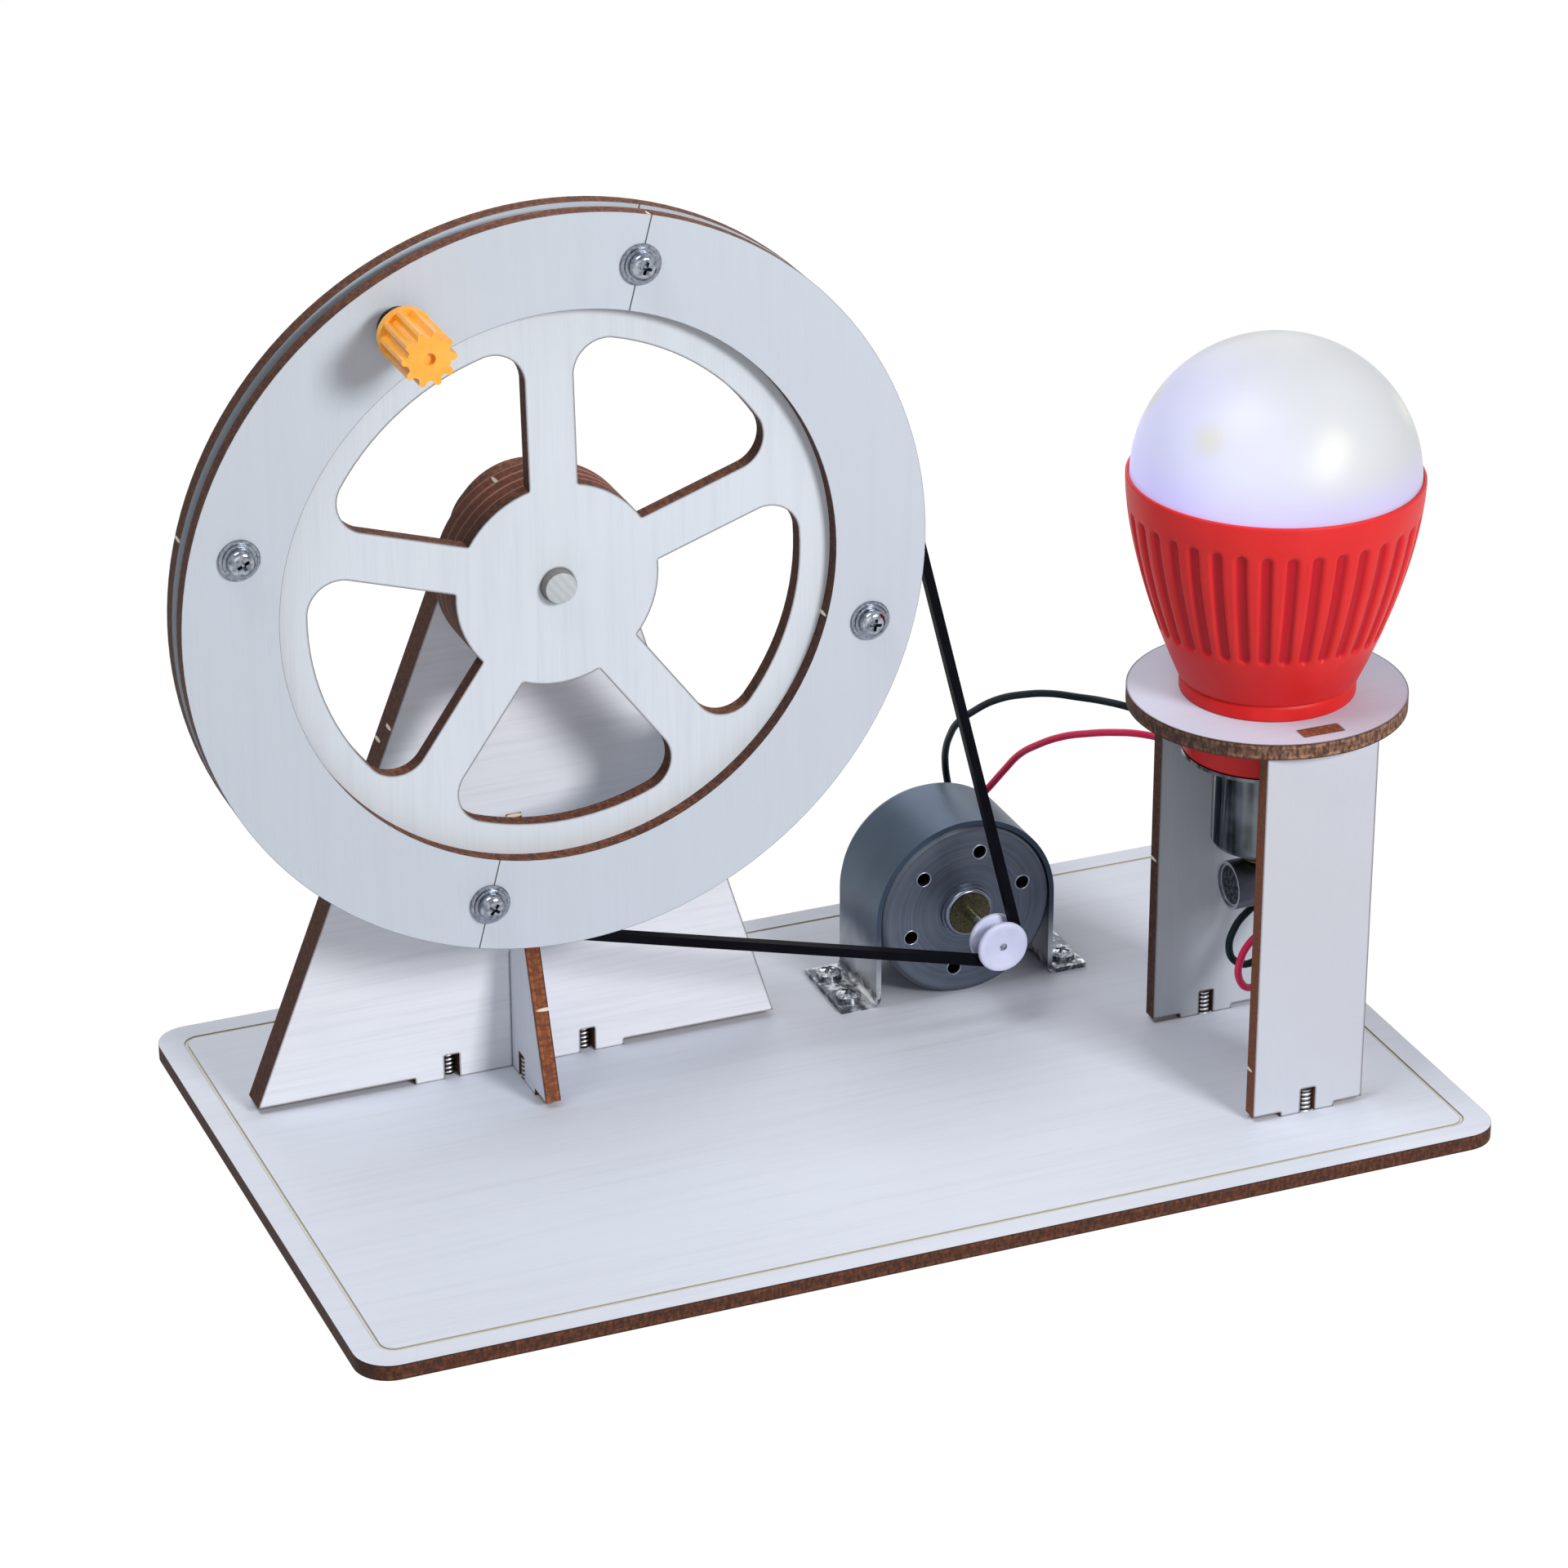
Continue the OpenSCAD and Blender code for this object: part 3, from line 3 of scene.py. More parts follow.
import json
import logging
import math
from collections.abc import Iterable, Mapping, Sequence
from dataclasses import dataclass, field
from enum import Enum
from typing import Protocol

import bmesh
import bpy
from mathutils import Euler, Matrix, Vector


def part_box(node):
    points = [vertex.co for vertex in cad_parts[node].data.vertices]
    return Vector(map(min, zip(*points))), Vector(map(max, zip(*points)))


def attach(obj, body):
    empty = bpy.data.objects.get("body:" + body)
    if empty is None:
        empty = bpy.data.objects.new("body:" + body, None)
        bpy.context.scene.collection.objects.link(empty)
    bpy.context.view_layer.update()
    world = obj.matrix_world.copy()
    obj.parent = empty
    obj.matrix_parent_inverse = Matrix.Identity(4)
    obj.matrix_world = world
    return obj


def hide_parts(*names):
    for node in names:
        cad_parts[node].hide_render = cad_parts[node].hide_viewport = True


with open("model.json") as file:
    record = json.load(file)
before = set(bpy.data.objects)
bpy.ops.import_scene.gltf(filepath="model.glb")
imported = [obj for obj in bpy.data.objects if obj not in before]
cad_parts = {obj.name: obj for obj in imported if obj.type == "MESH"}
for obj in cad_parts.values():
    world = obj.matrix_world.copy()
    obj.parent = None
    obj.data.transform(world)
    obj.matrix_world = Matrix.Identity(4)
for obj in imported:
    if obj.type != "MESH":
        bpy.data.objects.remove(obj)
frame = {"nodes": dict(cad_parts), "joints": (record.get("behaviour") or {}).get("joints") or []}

LOG = logging.getLogger("generator")
MM = 0.001
WELD = 1e-6
Colour = tuple[float, float, float]
Point = tuple[float, float, float]
Outline = Sequence[tuple[float, float]]
Edges = list[bmesh.types.BMEdge]


class Axis(Enum):
    """An axis of the object's frame."""

    X = 0
    Y = 1
    Z = 2


def tint(red: int, green: int, blue: int) -> Colour:
    """Turns a screen colour, from 0 to 255, into the linear one that a shader takes."""
    shares = [value / 255 for value in (red, green, blue)]
    return tuple(s / 12.92 if s <= 0.04045 else ((s + 0.055) / 1.055) ** 2.4 for s in shares)


def stretch(axis: Axis, along: float, across: float) -> Point:
    """Gives one value along an axis and another along the other two."""
    return tuple(along if other is axis else across for other in Axis)


def metres(outline: Outline) -> Outline:
    """Turns an outline from millimetres into metres."""
    return [(radius * MM, reach * MM) for radius, reach in outline]


class Sock:
    """A shader value whose arithmetic adds Math nodes."""

    def __init__(self, shader: "Shader", socket: bpy.types.NodeSocket) -> None:
        """Keeps the socket and the shader it belongs to."""
        self.shader = shader
        self.socket = socket

    def math(self, operation: str, *values: "Sock | float") -> "Sock":
        """Adds one Math node with its inputs in order."""
        return self.shader.out("Math", dict(enumerate(values)), operation=operation)

    def __add__(self, other: "Sock | float") -> "Sock":
        """Adds."""
        return self.math("ADD", self, other)

    __radd__ = __add__

    def __sub__(self, other: "Sock | float") -> "Sock":
        """Subtracts."""
        return self.math("SUBTRACT", self, other)

    def __rsub__(self, other: float) -> "Sock":
        """Subtracts from a number."""
        return self.math("SUBTRACT", other, self)

    def __mul__(self, other: "Sock | float") -> "Sock":
        """Multiplies."""
        return self.math("MULTIPLY", self, other)

    __rmul__ = __mul__

    def __truediv__(self, other: "Sock | float") -> "Sock":
        """Divides."""
        return self.math("DIVIDE", self, other)

    def __rtruediv__(self, other: float) -> "Sock":
        """Divides a number."""
        return self.math("DIVIDE", other, self)

    def __pow__(self, power: "Sock | float") -> "Sock":
        """Raises to a power."""
        return self.math("POWER", self, power)

    def __rpow__(self, base: float) -> "Sock":
        """Raises a number to this power."""
        return self.math("POWER", base, self)

    def __abs__(self) -> "Sock":
        """Gives the value without its sign."""
        return self.math("ABSOLUTE", self)

    def wave(self) -> "Sock":
        """Gives a wave from 0 to 1 that repeats at each whole number."""
        return self.math("SINE", self * math.tau) * 0.5 + 0.5

    def most(self, other: "Sock | float") -> "Sock":
        """Gives the larger of two values."""
        return self.math("MAXIMUM", self, other)

    def ramp(self, low: float, high: float) -> "Sock":
        """Rises smoothly from 0 to 1.

        Args:
            low: Value where it starts to rise.
            high: Value where it has risen, which may lie below low.

        Returns:
            The smooth step.
        """
        lower, upper = sorted((low, high))
        step = self.shader.out("MapRange", {0: self, 1: lower, 2: upper}, interpolation_type="SMOOTHSTEP")
        return step if low <= high else 1 - step


class Shader:
    """The node tree of a material or of the world in the making."""

    def __init__(self, name: str, owner: bpy.types.ID | None = None) -> None:
        """Starts an empty node tree, on a new material if no owner is given."""
        self.owner = owner or bpy.data.materials.new(name)
        self.owner.use_nodes = True
        self.tree = self.owner.node_tree
        self.tree.nodes.clear()

    def node(self, kind: str, inputs: Mapping[int | str, object] | None = None,
             **settings: object) -> bpy.types.Node:
        """Adds one node.

        Args:
            kind: The node's type, after ShaderNode.
            inputs: Values or links by socket name or number.
            settings: The node's own properties, which are set first.

        Returns:
            The node.
        """
        made = self.tree.nodes.new(f"ShaderNode{kind}")
        for key, value in settings.items():
            setattr(made, key, value)
        for key, value in (inputs or {}).items():
            socket = made.inputs[key]
            if isinstance(value, Sock):
                self.tree.links.new(value.socket, socket)
            elif socket.type == "RGBA":
                socket.default_value = (*value, 1.0)
            else:
                socket.default_value = value
        return made

    def out(self, kind: str, inputs: Mapping[int | str, object] | None = None, output: int | str = 0,
            **settings: object) -> Sock:
        """Adds one node, as node does, and gives its output of that name or number."""
        return Sock(self, self.node(kind, inputs, **settings).outputs[output])

    def place(self) -> Sock:
        """Gives the place on the piece in the object's frame."""
        return self.out("TexCoord", output="Object")

    def along(self, place: Sock, axis: Axis) -> Sock:
        """Gives one coordinate of a place."""
        return self.out("SeparateXYZ", {0: place}, axis.value)

    def facing(self, axis: Axis) -> Sock:
        """Gives how far the surface faces along an axis, from -1 to 1."""
        return self.along(self.out("TexCoord", output="Normal"), axis)

    def off(self, place: Sock, point: Point) -> Sock:
        """Gives the vector from a point to a place."""
        return self.out("VectorMath", {0: place, 1: point}, operation="SUBTRACT")

    def far(self, place: Sock, point: Point) -> Sock:
        """Gives the distance of a place from a point."""
        return self.out("VectorMath", {0: place, 1: point}, "Value", operation="DISTANCE")

    def radius(self, place: Sock, axis: Axis) -> Sock:
        """Gives the distance of a place from an axis."""
        first, second = (self.along(place, other) for other in Axis if other is not axis)
        return (first * first + second * second) ** 0.5

    def noise(self, place: Sock, scale: Point | float, detail: float = 2.0, rough: float = 0.5) -> Sock:
        """Adds a noise that may be stretched.

        Args:
            place: Coordinates.
            scale: Cells per metre, the same all round or along X, Y and Z.
            detail: Octaves.
            rough: Weight of the finer octaves.

        Returns:
            The noise, from 0 to 1 about 0.5.
        """
        cells = scale if isinstance(scale, tuple) else (scale,) * 3
        mapped = self.out("Mapping", {"Vector": place, "Scale": cells})
        return self.out("TexNoise", {"Vector": mapped, "Scale": 1.0, "Detail": detail, "Roughness": rough})

    def blend(self, mask: Sock, base: Sock | Colour, over: Sock | Colour) -> Sock:
        """Mixes two colours by a mask, the share of the second."""
        return self.out("Mix", {0: mask, 6: base, 7: over}, 2, data_type="RGBA", clamp_factor=True)

    def bump(self, height: Sock, depth: float) -> Sock:
        """Gives the normal bumped by a height, whose 1 is as high in metres as depth."""
        return self.out("Bump", {"Strength": 1.0, "Distance": depth, "Height": height})

    def done(self, **inputs: object) -> bpy.types.Material:
        """Ends the tree in a Principled shader.

        Args:
            inputs: Its sockets, with _ for each space in a name.

        Returns:
            The material.
        """
        named = {key.replace("_", " "): value for key, value in inputs.items()}
        self.node("OutputMaterial", {"Surface": self.out("BsdfPrincipled", named)})
        return self.owner


class Finish(Protocol):
    """What a surface is given: anything that makes a material."""

    def material(self) -> bpy.types.Material:
        """Makes the material."""


@dataclass(frozen=True)
class PlyFinish:
    """Pale laser-cut plywood with burnt edges in which the three plies show; edges that face -X are darkened as
    painted shade.
    """

    name: str
    sheet: Axis  # axis of its thickness
    grain: Axis  # axis of the grain on its faces
    low: float  # its lower face along the sheet axis
    pale: Colour = tint(214, 218, 228)  # colour of the faces
    engraved: float = 0.0  # depth of a line in the upper face
    border: tuple[float, float] = (0.0, 0.0)  # half sizes of the area where a wall is the line's own
    nibs: tuple[Point, ...] = ()  # broken bridges on the edges, in millimetres
    thickness: float = 2.7 * MM
    singe: float = 0.45 * MM  # burnt width on the faces along each cut
    streak: Colour = tint(196, 200, 210)  # grain
    cloud: Colour = tint(206, 212, 224)  # broad patches of the faces
    burnt: Colour = tint(84, 52, 42)  # cut edges at their darkest
    scorched: Colour = tint(158, 98, 66)  # cut edges at their lightest
    lip: Colour = tint(64, 40, 34)  # rims of the edges, and the singed width
    glue: Colour = tint(34, 22, 20)  # seams between the plies
    soot: Colour = tint(44, 32, 30)  # edges that face -X: painted shade
    line: Colour = tint(168, 162, 140)  # walls of the engraved line
    trough: Colour = tint(216, 215, 206)  # its floor
    nib: Colour = tint(236, 226, 208)

    def face(self, shader: Shader, layer: Sock, figure: Sock) -> Sock:
        """Colours the sheet's faces.

        Args:
            shader: Tree to add to.
            layer: Height in the sheet, from 0 to 1.
            figure: The grain's figure.

        Returns:
            The colour.
        """
        patches = shader.noise(shader.place(), 22.0, 3.0)
        colour = shader.blend(figure.ramp(0.42, 0.72) * 0.28, self.pale, self.streak)
        colour = shader.blend(patches.ramp(0.5, 0.75) * 0.3, colour, self.cloud)
        inside = shader.out("AmbientOcclusion", {"Distance": self.singe}, "AO", inside=True, only_local=True,
                            samples=6)
        colour = shader.blend((1 - inside).ramp(0.06, 0.4) * 0.8, colour, self.lip)
        if not self.engraved:
            return colour
        deep = self.engraved / self.thickness
        sunk = layer.ramp(1 - 0.3 * deep, 1 - 0.7 * deep) * layer.ramp(0.3, 0.6)
        return shader.blend(sunk, colour, self.trough)

    def edge(self, shader: Shader, layer: Sock, char: Sock) -> Sock:
        """Colours the cut edges.

        Args:
            shader: Tree to add to.
            layer: Height in the sheet, from 0 to 1.
            char: Pattern of the burns.

        Returns:
            The colour.
        """
        place, middle = shader.place(), abs(layer - 0.5)
        light = char.ramp(0.36, 0.68) * (0.75 - 0.3 * middle.ramp(0.22, 0.14))
        colour = shader.blend(light, self.burnt, self.scorched)
        colour = shader.blend(middle.ramp(0.38, 0.46) * 0.8, colour, self.lip)
        colour = shader.blend(abs(middle - 0.18).ramp(0.03, 0.0) * 0.5, colour, self.glue)
        # painted shade: edges that face -X are darkened
        colour = shader.blend(shader.facing(Axis.X).ramp(-0.2, -0.9) * 0.65, colour, self.soot)
        if self.engraved:
            within = [abs(shader.along(place, axis)).ramp(half, half - 0.5 * MM)
                      for axis, half in zip(Axis, self.border)]
            colour = shader.blend(within[0] * within[1], colour, self.line)
        flatten = stretch(self.sheet, 0.2, 1.0)
        for spot in self.nibs:
            point = tuple(MM * value * share for value, share in zip(spot, flatten))
            thin = shader.out("VectorMath", {0: place, 1: flatten}, operation="MULTIPLY")
            colour = shader.blend(shader.far(thin, point).ramp(0.38 * MM, 0.22 * MM), colour, self.nib)
        return colour

    def material(self) -> bpy.types.Material:
        """Makes the material.

        Returns:
            The plywood material.
        """
        shader = Shader(self.name)
        place = shader.place()
        grain = shader.noise(place, stretch(self.grain, 25.0, 620.0), 4.0, 0.6)
        fibres = shader.noise(place, stretch(self.grain, 70.0, 2600.0))
        char = shader.noise(place, stretch(self.sheet, 800.0, 1500.0), 3.0, 0.6)
        layer = (shader.along(place, self.sheet) - self.low) / self.thickness
        flat = abs(shader.facing(self.sheet)).ramp(0.5, 0.6)
        relief = char + flat * (grain * 0.5 + fibres * 0.5 - char)
        colour = shader.blend(flat, self.edge(shader, layer, char),
                              self.face(shader, layer, grain * 0.7 + fibres * 0.3))
        return shader.done(Base_Color=colour, Roughness=0.78 - 0.16 * flat,
                           Normal=shader.bump(relief, 0.06 * MM), Specular_IOR_Level=0.25)


class Lay(Enum):
    """How the fine lines of a metal surface run."""

    PLAIN = "plain"
    BRUSHED = "brushed"
    TURNED = "turned"
    THREAD = "thread"


@dataclass(frozen=True)
class MetalFinish:
    """A metal with fine working lines."""

    name: str
    colour: Colour
    dark: Colour  # hollows of the lines
    rough: float = 0.3
    lay: Lay = Lay.PLAIN
    axis: Axis = Axis.Y  # what the lines follow or turn about
    centre: Point = (0.0, 0.0, 0.0)  # a point on that axis
    pitch: float = 0.3 * MM  # of the lines
    depth: float = 0.01 * MM

    def lines(self, shader: Shader, place: Sock) -> Sock:
        """Draws the working lines.

        Args:
            shader: Tree to add to.
            place: Place from the centre.

        Returns:
            Their height, from 0 to 1.
        """
        count = 1 / self.pitch
        reach = shader.along(place, self.axis)
        if self.lay is Lay.BRUSHED:
            return shader.noise(place, stretch(self.axis, 0.04 * count, count))
        if self.lay is Lay.TURNED:
            ring = shader.out("CombineXYZ", {0: shader.radius(place, self.axis), 1: reach * 0.2})
            return shader.noise(ring, count, 3.0, 0.6)
        if self.lay is Lay.THREAD:
            first, second = (shader.along(place, axis) for axis in Axis if axis is not self.axis)
            return (reach * count + first.math("ARCTAN2", second, first) / math.tau).wave()
        return shader.noise(place, count)

    def material(self) -> bpy.types.Material:
        """Makes the material.

        Returns:
            The metal material.
        """
        shader = Shader(self.name)
        place = shader.off(shader.place(), self.centre)
        cloud = shader.noise(place, 180.0, 3.0)
        lines = self.lines(shader, place)
        colour = shader.blend((lines * 0.7 + cloud * 0.3).ramp(0.62, 0.3), self.colour, self.dark)
        return shader.done(Base_Color=colour, Metallic=1.0, Roughness=self.rough - 0.06 + 0.14 * cloud,
                           Normal=shader.bump(lines, self.depth))


@dataclass(frozen=True)
class StrapFinish:
    """Smooth bent sheet that is paler and crinkled towards its feet, with painted shade in the crinkles."""

    name: str = "strap_sheet"
    colour: Colour = tint(74, 87, 104)
    patch: Colour = tint(64, 75, 91)  # what the arch drifts towards
    foot: Colour = tint(202, 204, 208)
    crease: Colour = tint(60, 66, 76)  # in the crinkles: painted shade
    low: float = 4 * MM  # crinkled below this
    high: float = 20 * MM  # the arch's own colour above this

    def material(self) -> bpy.types.Material:
        """Makes the material.

        Returns:
            The strap's material.
        """
        shader = Shader(self.name)
        place = shader.place()
        height = shader.along(place, Axis.Z)
        cloud = shader.noise(place, 90.0, 3.0)
        crinkle = shader.noise(place, 420.0, 3.0, 0.6)
        crushed = height.ramp(self.low + 3 * MM, self.low)
        pale = (height + 6 * MM * cloud).ramp(self.high, self.low + 5 * MM)
        colour = shader.blend(pale, self.colour, self.foot)
        colour = shader.blend(cloud.ramp(0.4, 0.7) * 0.4, colour, self.patch)
        # painted shade in the crinkles
        colour = shader.blend(crushed * crinkle.ramp(0.6, 0.45) * 0.9, colour, self.crease)
        return shader.done(Base_Color=colour, Metallic=1.0, Roughness=0.36 + 0.1 * cloud,
                           Normal=shader.bump(crinkle * (0.04 + crushed), 0.3 * MM))


@dataclass(frozen=True)
class MouldedFinish:
    """A moulded plastic or rubber with a faint texture."""

    name: str
    colour: Colour
    shade: Colour  # what it drifts towards
    rough: float = 0.35
    pitch: float = 0.4 * MM  # of the texture
    depth: float = 0.008 * MM
    lines: Axis | None = None  # axis across which fine lines lie
    coat: float = 0.0
    gloss: float = 0.5  # specular level

    def material(self) -> bpy.types.Material:
        """Makes the material.

        Returns:
            The plastic material.
        """
        shader = Shader(self.name)
        place = shader.place()
        cloud = shader.noise(place, 240.0, 3.0)
        height = shader.noise(place, 1 / self.pitch)
        colour = shader.blend(cloud.ramp(0.35, 0.7) * 0.7, self.colour, self.shade)
        if self.lines:
            height = (shader.along(place, self.lines) / self.pitch).wave() * 0.8 + height * 0.2
            colour = shader.blend(height.ramp(0.6, 1.0) * 0.35, colour, self.shade)
        return shader.done(Base_Color=colour, Roughness=self.rough - 0.05 + 0.1 * cloud,
                           Coat_Weight=self.coat, Specular_IOR_Level=self.gloss,
                           Normal=shader.bump(height, self.depth))


@dataclass(frozen=True)
class RibbedFinish:
    """The lamp's red plastic, darker in its grooves as painted shade, which the piece's own attribute marks,
    with lighter patches as a painted sheen.
    """

    name: str = "bulb_red_plastic"
    colour: Colour = tint(220, 40, 41)
    light: Colour = tint(232, 54, 50)  # its lighter patches: painted sheen
    # painted shade in the grooves
    groove: Colour = tint(184, 12, 32)
    foot: Colour = tint(204, 22, 20)
    low: float = 74 * MM  # the foot's colour below this
    high: float = 96 * MM  # its own colour above this

    def material(self) -> bpy.types.Material:
        """Makes the material.

        Returns:
            The red plastic material.
        """
        shader = Shader(self.name)
        place = shader.place()
        depth = shader.out("Attribute", output="Fac", attribute_name="groove")
        cloud = shader.noise(place, (150.0, 150.0, 90.0), 3.0)
        skin = shader.noise(place, 1800.0)
        low = shader.along(place, Axis.Z).ramp(self.high, self.low)
        colour = shader.blend(low * 0.8, self.colour, self.foot)
        # painted sheen in lighter patches
        colour = shader.blend(cloud.ramp(0.4, 0.75) * 0.35, colour, self.light)
        # painted shade in the grooves
        colour = shader.blend(depth.ramp(0.1, 0.9), colour, self.groove)
        return shader.done(Base_Color=colour, Roughness=0.4 + 0.12 * cloud,
                           Normal=shader.bump(skin, 0.01 * MM), Specular_IOR_Level=0.25)


@dataclass(frozen=True)
class GlowFinish:
    """Opal plastic lit from inside, with a warm spot above each light chip and painted light on its side
    towards -X.
    """

    base: float  # height of the dome's foot
    spots: tuple[Point, ...]
    name: str = "opal_dome"
    opal: Colour = tint(191, 193, 202)
    cloud: Colour = tint(198, 202, 212)
    foot: Colour = tint(188, 180, 228)
    rise: float = 9 * MM  # height of the foot's colour
    glow: Colour = (0.1, 0.105, 0.07)  # light that it gives
    side: Colour = (0.25, 0.25, 0.45)  # painted light on the side towards -X
    spot: Colour = (0.22, 0.22, 0.13)  # light of a warm spot
    reach: float = 5 * MM  # radius of a warm spot

    def material(self) -> bpy.types.Material:
        """Makes the material.

        Returns:
            The glowing plastic material.
        """
        shader = Shader(self.name)
        place = shader.place()
        cloud = shader.noise(place, 60.0)
        height = shader.along(place, Axis.Z) - self.base
        colour = shader.blend(height.ramp(self.rise, 0.0), self.opal, self.foot)
        colour = shader.blend(cloud.ramp(0.45, 0.7) * 0.4, colour, self.cloud)
        # painted light: the side towards -X glows brighter
        glow = shader.blend(shader.facing(Axis.X).ramp(0.0, -0.9), self.glow, self.side)
        warm, *others = [shader.far(place, spot).ramp(self.reach, 0.0) for spot in self.spots]
        for other in others:
            warm = warm.most(other)
        glow = shader.blend(warm, glow, self.spot)
        return shader.done(Base_Color=colour, Roughness=0.42, Emission_Color=glow, Emission_Strength=1.0,
                           Normal=shader.bump(cloud, 0.02 * MM), Specular_IOR_Level=0.4)


@dataclass(frozen=True)
class DrumFinish:
    """The capacitor's dull can, with a bright rim, a painted highlight, round its dark grainy end."""

    centre: Point  # of the can, which lies along X
    radius: float
    name: str = "capacitor_skin"
    side: Colour = tint(112, 116, 126)
    patch: Colour = tint(78, 82, 92)  # what the side drifts towards
    grain: Colour = tint(40, 42, 48)  # its end, dark
    light: Colour = tint(112, 116, 124)  # its end, light
    rim: Colour = tint(206, 209, 214)  # round the end: painted highlight

    def material(self) -> bpy.types.Material:
        """Makes the material.

        Returns:
            The can's material.
        """
        shader = Shader(self.name)
        place = shader.off(shader.place(), self.centre)
        reach = shader.radius(place, Axis.X) / self.radius
        grains = shader.noise(place, 1600.0, 3.0)
        cloud = shader.noise(place, (160.0, 400.0, 400.0))
        end = shader.blend(grains.ramp(0.4, 0.66), self.grain, self.light)
        # painted highlight on the rim round the end
        end = shader.blend(reach.ramp(0.76, 0.84), end, self.rim)
        side = shader.blend(cloud.ramp(0.4, 0.7) * 0.6, self.side, self.patch)
        colour = shader.blend(abs(shader.facing(Axis.X)).ramp(0.7, 0.9), side, end)
        return shader.done(Base_Color=colour, Metallic=1.0, Roughness=0.36 + 0.14 * cloud,
                           Normal=shader.bump(grains, 0.03 * MM))


@dataclass(frozen=True)
class DowelFinish:
    """A plain wooden dowel along Y, whose ends show faint rings and whose side is darkened as painted shade."""

    centre: Point
    name: str = "dowel_wood"
    wood: Colour = tint(198, 204, 208)
    dark: Colour = tint(166, 170, 174)  # rings and fibres
    worn: Colour = tint(96, 90, 84)  # its side: painted shade where it stands out of the hole
    rings: float = 5200.0 / math.tau  # per metre

    def material(self) -> bpy.types.Material:
        """Makes the material.

        Returns:
            The dowel's material.
        """
        shader = Shader(self.name)
        place = shader.off(shader.place(), self.centre)
        fibres = shader.noise(place, (1500.0, 60.0, 1500.0), 3.0)
        across = shader.along(place, Axis.X) * 0.8 + shader.along(place, Axis.Z) * 0.6
        rings = ((across + 0.8 * MM * fibres) * self.rings).wave()
        colour = shader.blend(rings * 0.3 + fibres * 0.3, self.wood, self.dark)
        # painted shade on the side
        colour = shader.blend(abs(shader.facing(Axis.Y)).ramp(0.8, 0.5) * 0.75, colour, self.worn)
        return shader.done(Base_Color=colour, Roughness=0.8, Normal=shader.bump(fibres, 0.05 * MM))


def backdrop(shader: Shader, seen: float) -> Sock:
    """Tells the rays that should see a white background.

    Args:
        shader: Tree to add to.
        seen: Share of white that they see.

    Returns:
        The share of white.
    """
    path = shader.node("LightPath")
    camera, glossy, through = (Sock(shader, path.outputs[f"Is {kind} Ray"])
                               for kind in ("Camera", "Glossy", "Transmission"))
    return camera.most(glossy).most(through) * seen


@dataclass(frozen=True)
class FloorFinish:
    """A matt pale floor that looks nearly white and keeps the object's shadow."""

    name: str = "floor_white"
    dark: Colour = (0.48, 0.48, 0.49)
    light: Colour = (0.52, 0.52, 0.53)
    white: float = 1.18  # strength of the white that shows
    seen: float = 0.8  # share of that white

    def material(self) -> bpy.types.Material:
        """Makes the material.

        Returns:
            The floor's material.
        """
        shader = Shader(self.name)
        specks = shader.noise(shader.place(), 40.0)
        matt = shader.out("BsdfDiffuse", {"Color": shader.blend(specks, self.dark, self.light)})
        white = shader.out("Emission", {"Color": (1.0, 1.0, 1.0), "Strength": self.white})
        both = shader.out("MixShader", {0: backdrop(shader, self.seen), 1: matt, 2: white})
        shader.node("OutputMaterial", {"Surface": both})
        return shader.owner


